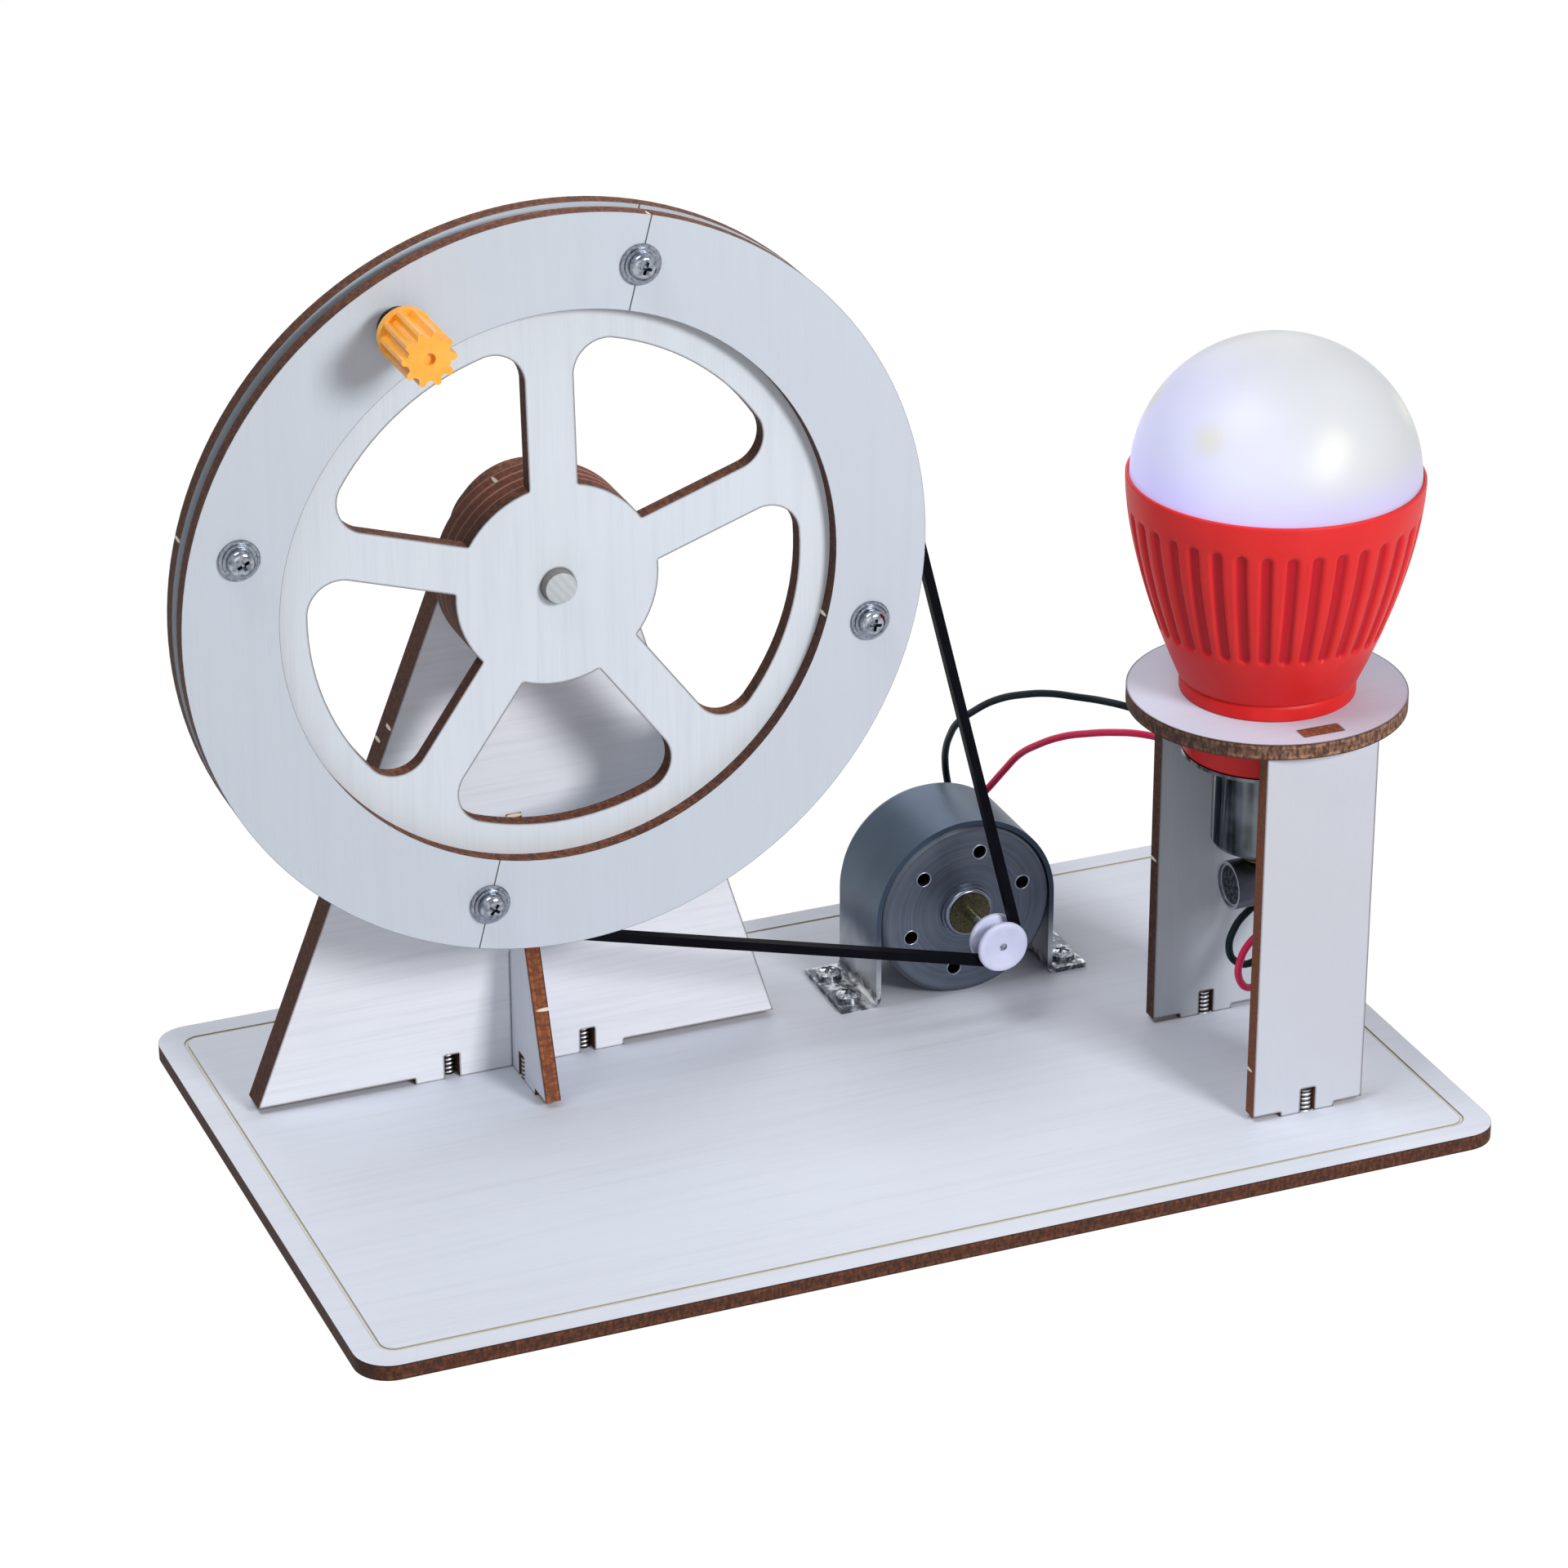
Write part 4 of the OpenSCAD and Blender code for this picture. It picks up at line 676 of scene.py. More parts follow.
class Form:
    """A mesh in the making."""

    def __init__(self) -> None:
        """Starts an empty mesh."""
        self.bm = bmesh.new()

    def chain(self, points: Iterable[Point], closed: bool = False) -> Edges:
        """Lays edges through points.

        Args:
            points: Places in order.
            closed: Whether the last point joins the first.

        Returns:
            The edges.
        """
        verts = [self.bm.verts.new(point) for point in points]
        pairs = list(zip(verts, verts[1:])) + ([(verts[-1], verts[0])] if closed else [])
        return [self.bm.edges.new(pair) for pair in pairs]

    def circle(self, radius: float, sides: int, place: Matrix) -> Edges:
        """Lays a ring of so many edges at a place."""
        made = bmesh.ops.create_circle(self.bm, segments=sides, radius=radius, matrix=place)["verts"]
        return list({edge for vert in made for edge in vert.link_edges})

    def spin(self, edges: Edges, centre: Vector, axis: Axis, steps: int) -> None:
        """Turns edges a full turn into a surface.

        Args:
            edges: Outline to turn.
            centre: A point on the axis.
            axis: Axis to turn about.
            steps: Number of steps.
        """
        verts = list({vert for edge in edges for vert in edge.verts})
        bmesh.ops.spin(self.bm, geom=verts + edges, cent=centre, axis=Matrix.Identity(3)[axis.value],
                       angle=math.tau, steps=steps, use_merge=True)

    def lathe(self, outline: Outline, centre: Vector, axis: Axis, steps: int, closed: bool = False) -> None:
        """Turns an outline about Y or Z.

        Args:
            outline: Radii, and distances along the axis from the centre.
            centre: A point on the axis.
            axis: Axis to turn about.
            steps: Number of steps.
            closed: Whether the outline's last point joins its first.
        """
        way = Matrix.Identity(3)[axis.value]
        points = [centre + Vector((radius, 0.0, 0.0)) + way * reach for radius, reach in outline]
        self.spin(self.chain(points, closed), centre, axis, steps)

    def run(self, *rings: Edges) -> None:
        """Joins each ring of edges to the next, and closes the first and the last."""
        for first, second in zip(rings, rings[1:]):
            bmesh.ops.bridge_loops(self.bm, edges=[*first, *second])
        for end in (rings[0], rings[-1]):
            bmesh.ops.edgeloop_fill(self.bm, edges=end)

    def piece(self, name: str, finish: Finish, crease: float = 35.0) -> bpy.types.Object:
        """Ends the mesh as an object.

        Args:
            name: The object's name.
            finish: Its finish.
            crease: Angle in degrees above which an edge stays sharp.

        Returns:
            The object.
        """
        bmesh.ops.remove_doubles(self.bm, verts=self.bm.verts[:], dist=WELD)
        bmesh.ops.recalc_face_normals(self.bm, faces=self.bm.faces[:])
        mesh = bpy.data.meshes.new(name)
        self.bm.to_mesh(mesh)
        self.bm.free()
        mesh.shade_smooth()
        mesh.set_sharp_from_angle(angle=math.radians(crease))
        mesh.materials.append(finish.material())
        made = bpy.data.objects.new(name, mesh)
        bpy.context.scene.collection.objects.link(made)
        return made


def dress(finish: Finish, *nodes: str) -> None:
    """Gives CAD nodes a finish.

    Args:
        finish: The finish.
        nodes: Names of the nodes.
    """
    material = finish.material()
    for name in nodes:
        slots = frame["nodes"][name].data.materials
        slots.clear()
        slots.append(material)
        LOG.info("dressed %s with %s", name, material.name)


def dress_ply(node: str, sheet: Axis, grain: Axis, **looks: object) -> None:
    """Gives one plywood sheet its own finish, with the looks that differ."""
    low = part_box(node)[0]
    dress(PlyFinish(f"ply_{node}", sheet, grain, low[sheet.value], **looks), node)


def stand_in(piece: bpy.types.Object, body: str, slot: str, *nodes: str) -> None:
    """Puts a new piece on its body.

    Args:
        piece: The piece.
        body: Body it rides on.
        slot: Material slot of the record, not used.
        nodes: CAD nodes that it stands for.
    """
    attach(piece, body)
    if nodes:
        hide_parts(*nodes)
    LOG.info("built %s on %s", piece.name, body)


def joint_place(name: str) -> Vector:
    """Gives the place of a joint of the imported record."""
    return Vector(next(joint["pos_m"] for joint in frame["joints"] if joint["name"] == name))


@dataclass(frozen=True)
class SoftLight:
    """A soft square light."""

    name: str
    place: Point
    size: float  # side length
    power: float  # watts

    def hang(self, middle: Point) -> None:
        """Hangs the light.

        Args:
            middle: Point that it is turned to.
        """
        data = bpy.data.lights.new(self.name, "AREA")
        data.size, data.energy = self.size, self.power
        light = bpy.data.objects.new(self.name, data)
        light.location = self.place
        light.visible_camera = False
        light.rotation_euler = (Vector(middle) - Vector(self.place)).to_track_quat("-Z", "Y").to_euler()
        bpy.context.scene.collection.objects.link(light)


@dataclass
class Stage:
    """The camera, the lights and the floor."""

    eye: Point = (-0.29476, -0.70954, 0.42292)
    turn: Point = (64.6269, 0.1508, -22.25)  # degrees about X, Y and Z
    lens: float = 117.775  # millimetres
    sensor: float = 36.0  # millimetres
    clip: tuple[float, float] = (0.05, 20.0)
    middle: Point = (0.0, 0.0, 0.06)  # where the lights point
    ambient: float = 0.19  # even light of the world
    floor_half: float = 3.0
    floor_drop: float = 0.05 * MM
    lights: tuple[SoftLight, ...] = (
        SoftLight("key", (0.246, -0.631, 0.416), 0.2, 4.0), SoftLight("top", (-0.42, -0.05, 1.02), 0.5, 5.4),
        SoftLight("fill", (-0.34, -0.85, 0.36), 0.5, 0.7), SoftLight("back", (0.35, 0.95, 0.65), 0.8, 2.6))

    def camera(self) -> None:
        """Sets the camera at the photographed view."""
        data = bpy.data.cameras.new("view")
        data.lens, data.sensor_width = self.lens, self.sensor
        data.clip_start, data.clip_end = self.clip
        eye = bpy.data.objects.new("view", data)
        eye.location = self.eye
        eye.rotation_euler = Euler([math.radians(angle) for angle in self.turn])
        bpy.context.scene.collection.objects.link(eye)
        bpy.context.scene.camera = eye

    def floor(self) -> None:
        """Lays the floor."""
        form = Form()
        bmesh.ops.create_grid(form.bm, x_segments=4, y_segments=4, size=self.floor_half,
                              matrix=Matrix.Translation((0.0, 0.0, -self.floor_drop)))
        form.piece("floor", FloorFinish())

    def sky(self) -> None:
        """Sets a soft even world that the camera sees as white."""
        world = bpy.data.worlds.new("studio")
        bpy.context.scene.world = world
        shader = Shader("studio", world)
        strength = self.ambient + backdrop(shader, 1 - self.ambient)
        shader.node("OutputWorld", {"Surface": shader.out("Background", {"Strength": strength})})

    def build(self) -> None:
        """Sets the whole stage."""
        bpy.context.scene.view_settings.view_transform = "Standard"
        self.camera()
        self.sky()
        self.floor()
        for light in self.lights:
            light.hang(self.middle)
        LOG.info("stage set")


@dataclass
class Woodwork:
    """The plywood board, the wheel's stand and the lamp's stand."""

    border: float = 0.25 * MM  # depth of the board's engraved line
    margin: float = 2.0 * MM  # least distance of that line from the edge
    # sheets of the wheel's stand along X
    stand: tuple[str, ...] = ("stand_front_plate", "stand_back_plate", "stand_spacer_front",
                              "stand_spacer_middle", "stand_spacer_back")
    # places of the broken bridges in millimetres
    nibs: Mapping[str, tuple[Point, ...]] = field(default_factory=lambda: {
        "stand_front_plate": ((-65.3, 26.1, 69.4),), "stand_back_plate": ((-66.5, 28.5, 66.4),),
        "stand_brace": ((-43.7, 13.0, 18.8), (-44.4, 24.2, 50.2)), "lamp_leg_back": ((62.1, -1.6, 33.9),),
        "lamp_leg_front": ((62.1, -39.4, 11.9),)})

    def build(self) -> None:
        """Gives each sheet its own plywood finish."""
        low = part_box("base_board")[0]
        inner = (-low.x - self.margin, -low.y - self.margin)
        dress_ply("base_board", Axis.Z, Axis.X, pale=tint(216, 221, 233), engraved=self.border, border=inner,
                  singe=0.1 * MM, burnt=tint(64, 40, 32), scorched=tint(132, 76, 50), lip=tint(40, 28, 24))
        # lamp plate: lighter scorched edges than the other sheets, painted light where the key light falls on
        # them
        dress_ply("lamp_plate", Axis.Z, Axis.X, pale=tint(204, 212, 232), burnt=tint(82, 54, 44),
                  scorched=tint(188, 144, 116))
        dress_ply("stand_brace", Axis.X, Axis.Z, burnt=tint(112, 64, 42), scorched=tint(178, 106, 66),
                  nibs=self.nibs["stand_brace"])
        # the stand's sheets: paler faces than the others, partly their own tone and partly painted light that
        # makes up for the wheel's shadow on them
        for name in self.stand:
            dress_ply(name, Axis.Y, Axis.X, pale=tint(236, 238, 244), nibs=self.nibs.get(name, ()))
        # front leg: darker faces and lighter burnt edges than the other sheets, painted shade and light that
        # offset how the near key light falls on it
        dress_ply("lamp_leg_front", Axis.Y, Axis.Z, pale=tint(198, 200, 209), burnt=tint(118, 70, 48),
                  scorched=tint(176, 108, 70), soot=tint(106, 64, 46), nibs=self.nibs["lamp_leg_front"])
        # back leg: darker faces than the other sheets, painted shade of the space under the lamp plate
        dress_ply("lamp_leg_back", Axis.Y, Axis.Z, pale=tint(180, 185, 191), nibs=self.nibs["lamp_leg_back"])
        # the dark helical lines are painted shade between the thread's turns
        dress(MetalFinish("threaded_zinc", tint(214, 216, 220), tint(70, 66, 66), 0.3, Lay.THREAD, Axis.Z,
                          pitch=0.8 * MM, depth=0.2 * MM), "floor_screws")


@dataclass
class Flywheel:
    """The layered wheel, its screws, the crank handle and the belt drive."""

    teeth: int = 10
    tooth: tuple[float, ...] = (1.0, 0.86, 0.0, 0.0, 0.0, 0.86)  # how far its six points stand out
    tip: float = 4.5 * MM  # radius over the teeth
    root: float = 3.5 * MM  # radius between them
    bore: float = 1.55 * MM  # radius of the handle's bore
    recess: float = 2.7 * MM  # radius of the recess in its tip
    recess_depth: float = 1.7 * MM
    recess_end: float = 0.3 * MM  # behind the solid's front
    tip_hole: float = 1.0 * MM  # radius of the blind hole in its tip
    tip_hole_end: float = 0.15 * MM  # behind the solid's front
    tip_out: float = 0.9 * MM  # how far the tip covers the screw
    collar: float = 1.5 * MM  # length of the plain collar
    collar_out: float = 0.05 * MM  # its rise over the teeth
    slant: float = 0.04 * MM  # rise of each step across the handle
    proud: float = 1.9 * MM  # how far the axle stands out of the disc
    worn: Outline = ((0.6, 0.0), (0.18, 0.14), (0.0, 0.5))  # its front end in mm, in and back
    chamfer: float = 0.4 * MM  # of its back end
    screw_circle: float = 55.1 * MM
    screw_phase: float = 75.3  # degrees
    recess_turns: tuple[float, ...] = (20.0, 64.0, 38.0, 8.0)  # degrees
    shank: float = 1.5  # radius of a screw in mm
    shank_end: float = 0.3  # chamfer of its end in mm
    # outline of a screw's head in mm, from the shank out and up
    head: Outline = ((1.5, 1.05), (2.1, 1.05), (2.3, 1.2), (2.34, 1.55), (2.24, 1.95), (1.98, 2.28),
                     (1.6, 2.5), (1.28, 2.58))
    # outlines of the two washers in mm
    washers: tuple[Outline, ...] = (
        ((1.7, 0.0), (3.25, 0.0), (3.4, 0.12), (3.4, 0.46), (3.25, 0.6), (1.7, 0.6)),
        ((1.7, 0.62), (2.68, 0.62), (2.84, 0.7), (2.84, 0.94), (2.7, 1.04), (1.7, 1.04)))
    cross_arm: float = 1.06 * MM
    cross_half: float = 0.27 * MM
    cross_taper: Outline = ((1.0, 0.02), (0.6, 1.0))  # share of its size, and depth in mm
    head_reach: float = 4 * MM  # an edge nearer than this is the screw's own
    pulley_core: float = 2.5  # radius of its groove in mm
    pulley_bore: float = 1.05  # radius in mm
    flange: float = 1.2  # thickness in mm
    rings: tuple[str, ...] = ("front_ring_left", "front_ring_right", "back_ring_left", "back_ring_right")
    hubs: tuple[str, ...] = ("hub_spacer_front", "hub_spacer_middle", "hub_spacer_back")
    # places of the broken bridges in millimetres
    nibs: Mapping[str, tuple[Point, ...]] = field(default_factory=lambda: {
        "front_ring_left": ((-26.9, 2.6, 160.6),), "front_ring_right": ((3.2, 4.4, 87.2),),
        "back_ring_left": ((-103.6, 9.2, 115.5),), "hub_spacer_back": ((-49.6, 14.1, 115.2),)})

    def dress(self) -> None:
        """Gives the wheel's sheets and small metal pieces their finishes."""
        for name in self.rings:
            dress_ply(name, Axis.Y, Axis.Z, pale=tint(200, 208, 218), singe=0.14 * MM,
                      nibs=self.nibs.get(name, ()))
        for name in ("spoke_disc", "axle_retainer"):
            dress_ply(name, Axis.Y, Axis.Z, pale=tint(217, 224, 232))
        for name in self.hubs:
            dress_ply(name, Axis.Y, Axis.Z, burnt=tint(112, 62, 50), scorched=tint(158, 92, 68),
                      lip=tint(206, 160, 132), nibs=self.nibs.get(name, ()))
        dress(MetalFinish("bright_zinc", tint(150, 156, 166), tint(96, 102, 112), 0.2, pitch=1.2 * MM,
                          depth=0.004 * MM), "rim_nuts")
        dress(MetalFinish("dark_steel", tint(84, 88, 96), tint(40, 42, 48), 0.34, pitch=0.4 * MM),
              "crank_screw", "crank_nut", "crank_clip")
        dress(MouldedFinish("belt_rubber", tint(7, 8, 13), tint(17, 18, 26), 0.5, 0.6 * MM, 0.04 * MM, Axis.Y,
                            gloss=0.03), "drive_belt")

    def axle(self) -> None:
        """Builds the dowel, whose worn front end stands out of the disc."""
        low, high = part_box("axle")
        middle = joint_place("wheel_spin")
        radius, front, back = (high.x - low.x) / 2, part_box("spoke_disc")[0].y - self.proud, high.y
        line = [(0.0, front), *((radius - inset, front + set_back) for inset, set_back in metres(self.worn)),
                (radius, back - self.chamfer), (radius - self.chamfer, back), (0.0, back)]
        form = Form()
        form.lathe(line, Vector((middle.x, 0.0, middle.z)), Axis.Y, steps=64)
        stand_in(form.piece("dowel_axle", DowelFinish(tuple(middle))), "flywheel", "dowel", "axle")

    def sink_cross(self, form: Form, spot: Vector, turn: float) -> None:
        """Sinks a cross recess in a screw's head.

        Args:
            form: Mesh of the heads.
            spot: Where the screw enters the rim.
            turn: Turn of the cross in degrees.
        """
        top = spot.y - self.head[-1][1] * MM
        rim = [edge for edge in form.bm.edges if len(edge.link_faces) == 1
               and all(abs(vert.co.y - top) < WELD for vert in edge.verts)
               and (edge.verts[0].co - spot).length < self.head_reach]
        arm, half = self.cross_arm, self.cross_half
        cross = [(arm, half), (half, half), (half, arm)]
        for _ in range(3):
            cross += [(-z, x) for x, z in cross[-3:]]
        spin = Matrix.Rotation(math.radians(turn), 3, "Y")
        mouth, floor = (
            form.chain([Vector((spot.x, top + sink * MM, spot.z)) + spin @ Vector((x * share, 0.0, z * share))
                        for x, z in cross], True) for share, sink in self.cross_taper)
        bmesh.ops.bridge_loops(form.bm, edges=[*rim, *mouth])
        bmesh.ops.bridge_loops(form.bm, edges=[*mouth, *floor])
        bmesh.ops.edgeloop_fill(form.bm, edges=floor)

    def screws(self) -> None:
        """Builds the rim's pan-head screws, each with a cross recess, and their washers."""
        hub = joint_place("wheel_spin")
        front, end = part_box("front_ring_left")[0].y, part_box("rim_screws")[1].y
        tail = (front - end) / MM
        shank = ((0.0, tail), (self.shank - self.shank_end, tail), (self.shank, tail + self.shank_end))
        heads, discs = Form(), Form()
        for index, turn in enumerate(self.recess_turns):
            angle = math.radians(self.screw_phase + 360 / len(self.recess_turns) * index)
            spot = Vector((hub.x + self.screw_circle * math.cos(angle), front,
                           hub.z + self.screw_circle * math.sin(angle)))
            for form, line in ((heads, (*shank, *self.head)), *((discs, washer) for washer in self.washers)):
                outline = [(radius, -rise) for radius, rise in metres(line)]
                form.lathe(outline, spot, Axis.Y, steps=48, closed=form is discs)
            self.sink_cross(heads, spot, turn)
        zinc = MetalFinish("screw_zinc", tint(168, 174, 184), tint(92, 98, 108), 0.16, pitch=0.9 * MM,
                           depth=0.004 * MM)
        stand_in(heads.piece("rim_pan_heads", zinc), "flywheel", "screw_steel", "rim_screws")
        plain = MetalFinish("washer_zinc", tint(150, 156, 166), tint(104, 110, 120), 0.26, pitch=0.5 * MM)
        stand_in(discs.piece("rim_washer_rings", plain), "flywheel", "screw_steel", "rim_washers")

    def handle(self) -> None:
        """Builds the toothed handle with a plain collar and a small hole in its tip."""
        low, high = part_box("crank_handle")
        middle = joint_place("handle_spin")
        points = len(self.tooth) * self.teeth
        form = Form()

        def ring(radius: float, y: float) -> Edges:
            """Lays one ring of the handle at a depth."""
            place = Matrix.Translation((middle.x, y, middle.z)) @ Matrix.Rotation(math.pi / 2, 4, "X")
            return form.circle(radius, points, place)

        def toothed(y: float) -> Edges:
            """Lays a ring whose points stand out as teeth.

            Args:
                y: Depth of the ring.

            Returns:
                The ring's edges.
            """
            edges = ring(self.root, y)
            for vert in {vert for edge in edges for vert in edge.verts}:
                away = vert.co - Vector((middle.x, y, middle.z))
                share = self.tooth[round(math.atan2(away.z, away.x) / math.tau * points) % len(self.tooth)]
                vert.co += away.normalized() * share * (self.tip - self.root)
            return edges

        front, back, slant = low.y, high.y, self.slant
        seat, tip, step = front + self.recess_depth, front - self.tip_out, back - self.collar
        outer = self.tip + self.collar_out
        form.run(ring(self.tip_hole, front + self.tip_hole_end), ring(self.tip_hole, tip + slant), toothed(tip),
                 toothed(step), ring(outer, step + slant), ring(outer, back), ring(self.bore, back - slant),
                 ring(self.bore, seat), ring(self.recess, seat - slant),
                 ring(self.recess, front + self.recess_end))
        orange = MouldedFinish("orange_moulding", tint(255, 186, 66), tint(255, 164, 40), 0.3, 0.5 * MM,
                               coat=0.2)
        stand_in(form.piece("toothed_handle", orange, crease=30.0), "crank", "handle_plastic", "crank_handle")

    def pulley(self) -> None:
        """Builds the pulley with rounded flanges and a dished front with a small hole."""
        low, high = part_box("drive_pulley")
        middle = joint_place("rotor_spin")
        outer, width = (high.x - low.x) / 2 / MM, (high.y - low.y) / MM
        core, bore, flange = self.pulley_core, self.pulley_bore, self.flange
        side = [(outer - 0.45, 0.0), (outer - 0.15, 0.12), (outer, 0.45), (outer, 0.75), (outer - 0.12, 0.98),
                (outer - 0.4, flange), (core + 0.25, flange), (core, flange + 0.2)]
        dish = [(bore, 0.55), (0.7, 0.5), (0.7, 0.26), (0.95, 0.17), (outer - 1.6, 0.14), (outer - 1.2, 0.0)]
        outline = dish + side + [(radius, width - y) for radius, y in reversed(side)] + [(bore, width)]
        form = Form()
        form.lathe(metres(outline), Vector((middle.x, low.y, middle.z)), Axis.Y, steps=72, closed=True)
        white = MouldedFinish("white_moulding", tint(210, 213, 238), tint(194, 198, 228), 0.4, 0.5 * MM)
        stand_in(form.piece("grooved_pulley", white, crease=50.0), "rotor", "pulley_plastic", "drive_pulley")

    def build(self) -> None:
        """Dresses the wheel and builds its new pieces."""
        self.dress()
        self.axle()
        self.screws()
        self.handle()
        self.pulley()


@dataclass
class Dynamo:
    """The small motor used as a generator, and its strap."""

    vents: int = 6
    vent_circle: float = 11.1 * MM  # radius
    vent: float = 1.2 * MM  # radius
    phase: float = 18.0  # of the first vent, in degrees
    rim: float = 0.16 * MM  # half the thickness of a vent's rim
    rim_gap: float = 0.12 * MM  # from the vent to the rim's middle
    sunk: float = 0.6 * MM  # the can's face behind its edge
    collar: float = 4.0 * MM  # radius of the bush's collar
    bead: float = 0.55 * MM  # half the collar's width
    bulge: float = 1.5  # how much longer than wide the collar is

    def dress(self) -> None:
        """Gives the motor's pieces their finishes."""
        dress(MetalFinish("spun_can", tint(110, 117, 129), tint(92, 99, 111), 0.4, Lay.TURNED, Axis.Y,
                          tuple(joint_place("rotor_spin")), 0.5 * MM, 0.003 * MM), "motor_can")
        dress(StrapFinish(), "motor_strap")
        dress(MetalFinish("sintered_bronze", tint(98, 92, 68), tint(56, 53, 38), 0.42, pitch=0.25 * MM,
                          depth=0.02 * MM),
              "motor_bearings", "motor_brushes", "commutator", "solder_tags", "cap_contact")
        dress(MetalFinish("strap_screw_zinc", tint(196, 200, 206), tint(90, 94, 100), 0.2, pitch=0.4 * MM),
              "strap_screws", "motor_shaft", "capacitor_leads", "solder_beads")
        dress(MetalFinish("core_iron", tint(92, 98, 106), tint(60, 64, 70), 0.4, Lay.BRUSHED, Axis.Y),
              "armature_core")
        dress(MetalFinish("enamelled_copper", tint(190, 110, 60), tint(120, 60, 30)),
              "armature_coils", "feed_wires")
        dress(MouldedFinish("ferrite", tint(44, 44, 48), tint(60, 60, 66), 0.6, 0.3 * MM), "motor_magnets")
        dress(MouldedFinish("black_moulding", tint(40, 40, 44), tint(56, 56, 62), 0.5),
              "motor_end_cap", "capacitor_seal", "cap_insulator")

    def bush_collar(self) -> None:
        """Builds the pressed collar round the front bush."""
        middle = joint_place("rotor_spin")
        seat = Vector((middle.x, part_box("motor_can")[0].y, middle.z))
        place = Matrix.Translation(seat + Vector((self.collar, 0.0, 0.0))) @ Matrix.Diagonal(
            (1.0, self.bulge, 1.0, 1.0))
        form = Form()
        form.spin(form.circle(self.bead, sides=16, place=place), seat, Axis.Y, steps=64)
        # paler than the can's steel: painted highlight
        steel = MetalFinish("pressed_collar", tint(140, 147, 162), tint(104, 111, 126), 0.26, Lay.TURNED,
                            Axis.Y, tuple(middle), 0.4 * MM, 0.004 * MM)
        stand_in(form.piece("bush_collar", steel, crease=60.0), "base", "motor_steel")

    def vent_rims(self) -> None:
        """Builds the pressed rims round the vent holes."""
        middle = joint_place("rotor_spin")
        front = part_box("motor_can")[0].y + self.sunk
        form = Form()
        for index in range(self.vents):
            angle = math.radians(self.phase + 360 / self.vents * index)
            hole = Vector((middle.x + self.vent_circle * math.cos(angle), front,
                           middle.z + self.vent_circle * math.sin(angle)))
            place = Matrix.Translation(hole + Vector((self.vent + self.rim_gap, 0.0, 0.0)))
            form.spin(form.circle(self.rim, sides=8, place=place), hole, Axis.Y, steps=28)
        # paler than the can they are pressed in: painted highlight
        steel = MetalFinish("pressed_rim", tint(168, 174, 188), tint(130, 136, 150))
        stand_in(form.piece("vent_rims", steel, crease=60.0), "base", "motor_steel")

    def build(self) -> None:
        """Dresses the motor and builds its collar and rims."""
        self.dress()
        self.bush_collar()
        self.vent_rims()


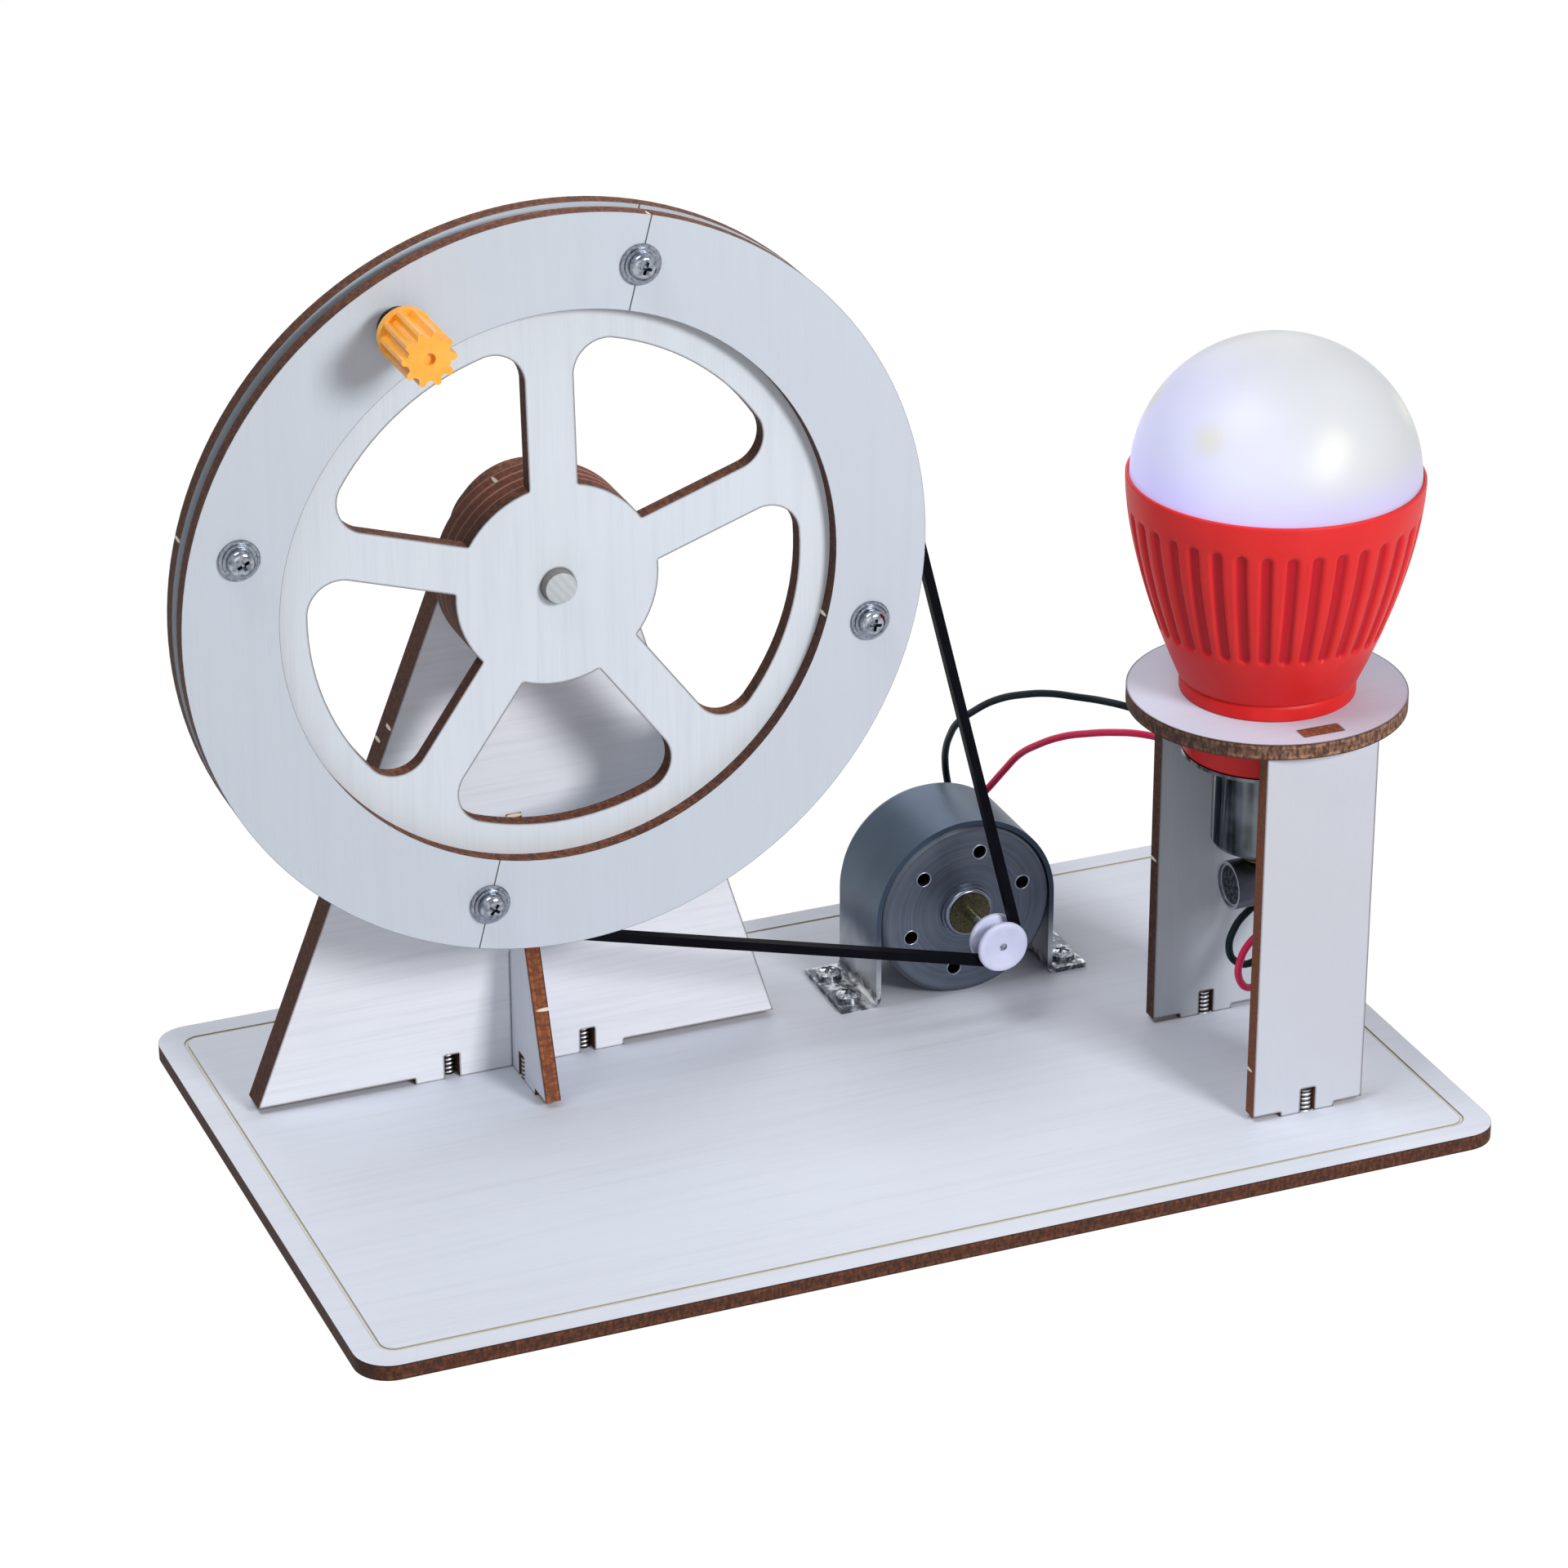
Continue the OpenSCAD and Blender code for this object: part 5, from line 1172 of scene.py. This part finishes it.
@dataclass
class Lamp:
    """The red lamp with its opal dome, cap and capacitor."""

    neck: float = 14.0 * MM  # radius in the plate
    collar: float = 14.7 * MM  # radius on the plate
    foot: float = 15.1 * MM  # least radius of the flare
    rim: float = 24.5 * MM  # largest radius
    bend: float = 1.65  # how soon it flares out
    wall: float = 1.8 * MM
    neck_end: Outline = ((0.6, 0.0), (0.18, 0.18), (0.0, 0.6))  # in mm, in and up
    # outline of the collar in mm, in and up from the plate
    collar_line: Outline = ((0.25, 0.0), (0.06, 0.1), (0.0, 0.35), (0.0, 2.2), (0.1, 2.45), (0.25, 2.6),
                            (0.25, 2.8))
    foot_line: Outline = ((0.2, 2.95),)  # in mm, in and up from the plate
    lip_line: Outline = ((0.0, 0.22), (0.08, 0.05), (0.22, 0.0), (0.45, 0.0), (0.6, 0.15))  # in mm, in and down
    plate_top: float = 72.8 * MM
    flare_low: float = 76.0 * MM
    flare_high: float = 110.4 * MM
    flare_steps: int = 84
    flare_stride: int = 12  # steps outside to one inside
    flare_crowd: float = 1.15  # crowds the steps towards the foot
    lip: float = 0.6 * MM  # height round the dome
    grooves: int = 36
    groove_low: float = 84.4 * MM
    groove_high: float = 106.0 * MM
    groove_half: float = 1.3 * MM  # half the width
    groove_depth: float = 0.7 * MM
    groove_slope: float = 1.6  # of its sides
    groove_skin: float = 0.5 * MM  # depth of the skin that is pressed in
    shares: int = 12  # steps round one groove and its rib
    crown: float = 0.6 * MM  # rise of the dome over the solid
    dome_wall: float = 1.2 * MM
    dome_steps: int = 40
    dome_stride: int = 4  # steps outside to one inside
    spots: int = 6
    spot_phase: float = -150.0  # degrees
    spot_rise: float = 12.6 * MM
    axis: Vector = field(default_factory=Vector)  # foot of the upright axis, which build finds

    def flare(self, z: float) -> float:
        """Gives the flared body's radius at a height."""
        share = (z - self.flare_low) / (self.flare_high - self.flare_low)
        return self.foot + (self.rim - self.foot) * (1 - (1 - share) ** self.bend)

    def body_line(self) -> Outline:
        """Draws the red body's outline.

        Returns:
            Radii and heights, up the outside and down the inside.
        """
        low, base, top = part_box("bulb_body")[0].z, self.plate_top, self.flare_high + self.lip
        line = [(self.neck - self.wall, low)]
        for radius, start, edge in ((self.neck, low, self.neck_end), (self.neck, base, ((0.0, 0.0),)),
                                    (self.collar, base, self.collar_line), (self.foot, base, self.foot_line)):
            line += [(radius - inset, start + up) for inset, up in metres(edge)]
        rise = self.flare_high - self.flare_low
        heights = [self.flare_low + rise * (step / self.flare_steps) ** self.flare_crowd
                   for step in range(self.flare_steps + 1)]
        line += [(self.flare(z), z) for z in heights]
        line += [(self.rim - inset, top - down) for inset, down in metres(self.lip_line)]
        line += [(self.rim - self.lip, self.flare_high), (self.rim - self.wall, self.flare_high)]
        line += [(self.flare(z) - self.wall, z) for z in reversed(heights[::self.flare_stride][:-1])]
        return line + [(self.neck - self.wall, self.flare_low)]

    def body(self) -> None:
        """Builds the red body and presses its rounded grooves in."""
        form = Form()
        form.lathe(self.body_line(), self.axis, Axis.Z, steps=self.grooves * self.shares, closed=True)
        mark = form.bm.verts.layers.float.new("groove")
        pitch = math.tau / self.grooves
        for vert in form.bm.verts:
            away = Vector((vert.co.x - self.axis.x, vert.co.y - self.axis.y))
            z = vert.co.z
            if not self.groove_low <= z <= self.groove_high or away.length < self.flare(z) - self.groove_skin:
                continue
            angle = math.atan2(away.y, away.x)
            side = (angle - round(angle / pitch) * pitch) * away.length
            past = max(self.groove_low + self.groove_half - z, z - self.groove_high + self.groove_half, 0.0)
            share = min(1.0, max(0.0, 1 - math.hypot(side, past) / self.groove_half) * self.groove_slope)
            vert[mark] = share * share * (3 - 2 * share)
            inward = away.normalized() * vert[mark] * self.groove_depth
            vert.co -= Vector((inward.x, inward.y, 0.0))
        stand_in(form.piece("ribbed_housing", RibbedFinish(), crease=50.0), "base", "bulb_red", "bulb_body")

    def dome(self) -> None:
        """Builds the opal dome."""
        low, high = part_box("bulb_dome")
        radius, rise = (high.x - low.x) / 2, high.z - low.z + self.crown
        turns = [math.pi / 2 * step / self.dome_steps for step in range(self.dome_steps + 1)]
        outer, inner = (
            [((radius - inset) * math.cos(turn), low.z + (rise - inset) * math.sin(turn)) for turn in some]
            for inset, some in ((0.0, turns), (self.dome_wall, turns[::self.dome_stride])))
        form = Form()
        form.lathe([(max(away, 0.0), z) for away, z in outer + inner[::-1]], self.axis, Axis.Z, steps=128,
                   closed=True)
        reach = radius * math.sqrt(1 - (self.spot_rise / rise) ** 2)
        angles = [math.radians(self.spot_phase + 360 / self.spots * index) for index in range(self.spots)]
        spots = tuple((self.axis.x + reach * math.cos(angle), self.axis.y + reach * math.sin(angle),
                       low.z + self.spot_rise) for angle in angles)
        opal = form.piece("opal_dome", GlowFinish(low.z, spots), crease=60.0)
        stand_in(opal, "base", "dome_plastic", "bulb_dome")

    def dress(self) -> None:
        """Gives the cap, the capacitor and the light board their finishes."""
        # the coarse dark streaks are painted reflections on the chrome
        dress(MetalFinish("cap_chrome", tint(104, 110, 115), tint(12, 16, 18), 0.12, Lay.BRUSHED, Axis.Z,
                          tuple(self.axis), 2.4 * MM, 0.05 * MM), "bulb_cap")
        low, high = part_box("capacitor")
        dress(DrumFinish(tuple((low + high) / 2), (high.z - low.z) / 2), "capacitor")
        dress(MouldedFinish("light_board", tint(230, 232, 236), tint(214, 216, 222), 0.5), "led_board")
        dress(MouldedFinish("light_chip", tint(250, 246, 220), tint(244, 236, 190), 0.4), "led_chips")

    def build(self) -> None:
        """Builds and dresses the lamp."""
        low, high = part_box("bulb_dome")
        self.axis = Vector(((low.x + high.x) / 2, (low.y + high.y) / 2, 0.0))
        self.body()
        self.dome()
        self.dress()


@dataclass
class Wiring:
    """The two limp wires from the motor to the lamp."""

    thick: float = 1.3 * MM  # diameter
    # routes of the two wires in millimetres
    black: tuple[Point, ...] = (
        (44.9, 41.1, 26.4), (44.9, 43.2, 27.2), (44.8, 44.9, 28.9), (44.5, 45.7, 31.6), (43.9, 45.2, 35),
        (43.2, 43.4, 38.6), (42.8, 40.8, 42.4), (42.8, 37.8, 46), (44, 34, 49.6), (46, 28.6, 53.8),
        (48.6, 22, 57.2), (51, 17, 59), (53.6, 12, 60), (56.6, 8, 60.4), (60, 4.8, 60), (64, 2.6, 58.6),
        (68.6, 1.6, 56.4), (73.6, 1.2, 53.8), (78.4, 1, 51), (82.6, 0.3, 48), (85, -2.2, 44.8), (85.4, -6, 41),
        (84.2, -9.8, 36.6), (81.8, -13, 31.6), (79.4, -15.4, 26.6), (77.6, -16.6, 22.8), (75.8, -17.2, 20.2),
        (73.2, -17.5, 18.9), (70.6, -17.6, 19.8), (69.2, -17.6, 22.4), (70, -17.6, 26.2), (72.4, -17.6, 29),
        (75.7, -17.7, 30.8), (78.8, -18, 32), (80.8, -18.8, 33.8), (81.4, -19.7, 36.4))
    red: tuple[Point, ...] = (
        (47.9, 41.1, 18), (47.9, 43.2, 18.8), (48.2, 44.8, 20.5), (48.9, 45.4, 23.2), (50, 44.7, 26.6),
        (51.6, 42.7, 30), (53.2, 40.2, 34), (54.4, 36.8, 38.2), (55.8, 32, 42), (57.8, 26, 45.8),
        (59.8, 20, 48.6), (61.8, 14, 51), (64.2, 8, 52.8), (67.4, 3.8, 52.9), (71.8, 1.7, 51.4),
        (76.4, 1, 48.8), (81.2, 1, 45.2), (84.2, -0.9, 41.2), (85.2, -4.8, 37), (84.4, -9, 32.2),
        (82.2, -13, 27), (78.8, -16.8, 21.8), (75, -20, 17.8), (71.2, -22, 16.8), (68.6, -22.8, 19.4),
        (68.6, -23, 23.2), (70.6, -23.2, 26.6), (74, -23.4, 28.6), (77.6, -23.4, 29.8), (80.4, -23.4, 31.8),
        (81.4, -23.4, 34), (81.4, -23.3, 36.4))

    def wire(self, hue: str, route: Sequence[Point], finish: Finish) -> None:
        """Lays one wire along its route.

        Args:
            hue: Its colour, as in the names of its piece, node and slot.
            route: Points in millimetres.
            finish: Finish of its insulation.
        """
        curve = bpy.data.curves.new(f"{hue}_lead", "CURVE")
        curve.dimensions = "3D"
        curve.bevel_depth = self.thick / 2
        curve.bevel_resolution = 4
        curve.resolution_u = 6
        curve.use_fill_caps = True
        spline = curve.splines.new("BEZIER")
        spline.bezier_points.add(len(route) - 1)
        for point, place in zip(spline.bezier_points, route):
            point.co = Vector(place) * MM
            point.handle_left_type = point.handle_right_type = "AUTO"
        curve.materials.append(finish.material())
        made = bpy.data.objects.new(f"{hue}_lead", curve)
        bpy.context.scene.collection.objects.link(made)
        bpy.context.view_layer.update()
        stand_in(made, "base", f"{hue}_insulation", f"{hue}_wire")

    def build(self) -> None:
        """Lays both wires."""
        for hue, route, colour, shade, gloss in (
                ("black", self.black, tint(9, 22, 30), tint(16, 40, 50), 0.15),
                ("red", self.red, tint(228, 34, 86), tint(216, 52, 108), 0.3)):
            finish = MouldedFinish(f"{hue}_insulation", colour, shade, 0.4, 0.6 * MM, gloss=gloss)
            self.wire(hue, route, finish)


def main() -> None:
    """Builds the stage and the object's pieces in order."""
    logging.basicConfig(level=logging.INFO, format="%(name)s: %(message)s")
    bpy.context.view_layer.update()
    for part in (Stage(), Wiring(), Flywheel(), Dynamo(), Lamp(), Woodwork()):
        part.build()
    LOG.info("all pieces built")


if __name__ == "__main__":
    main()
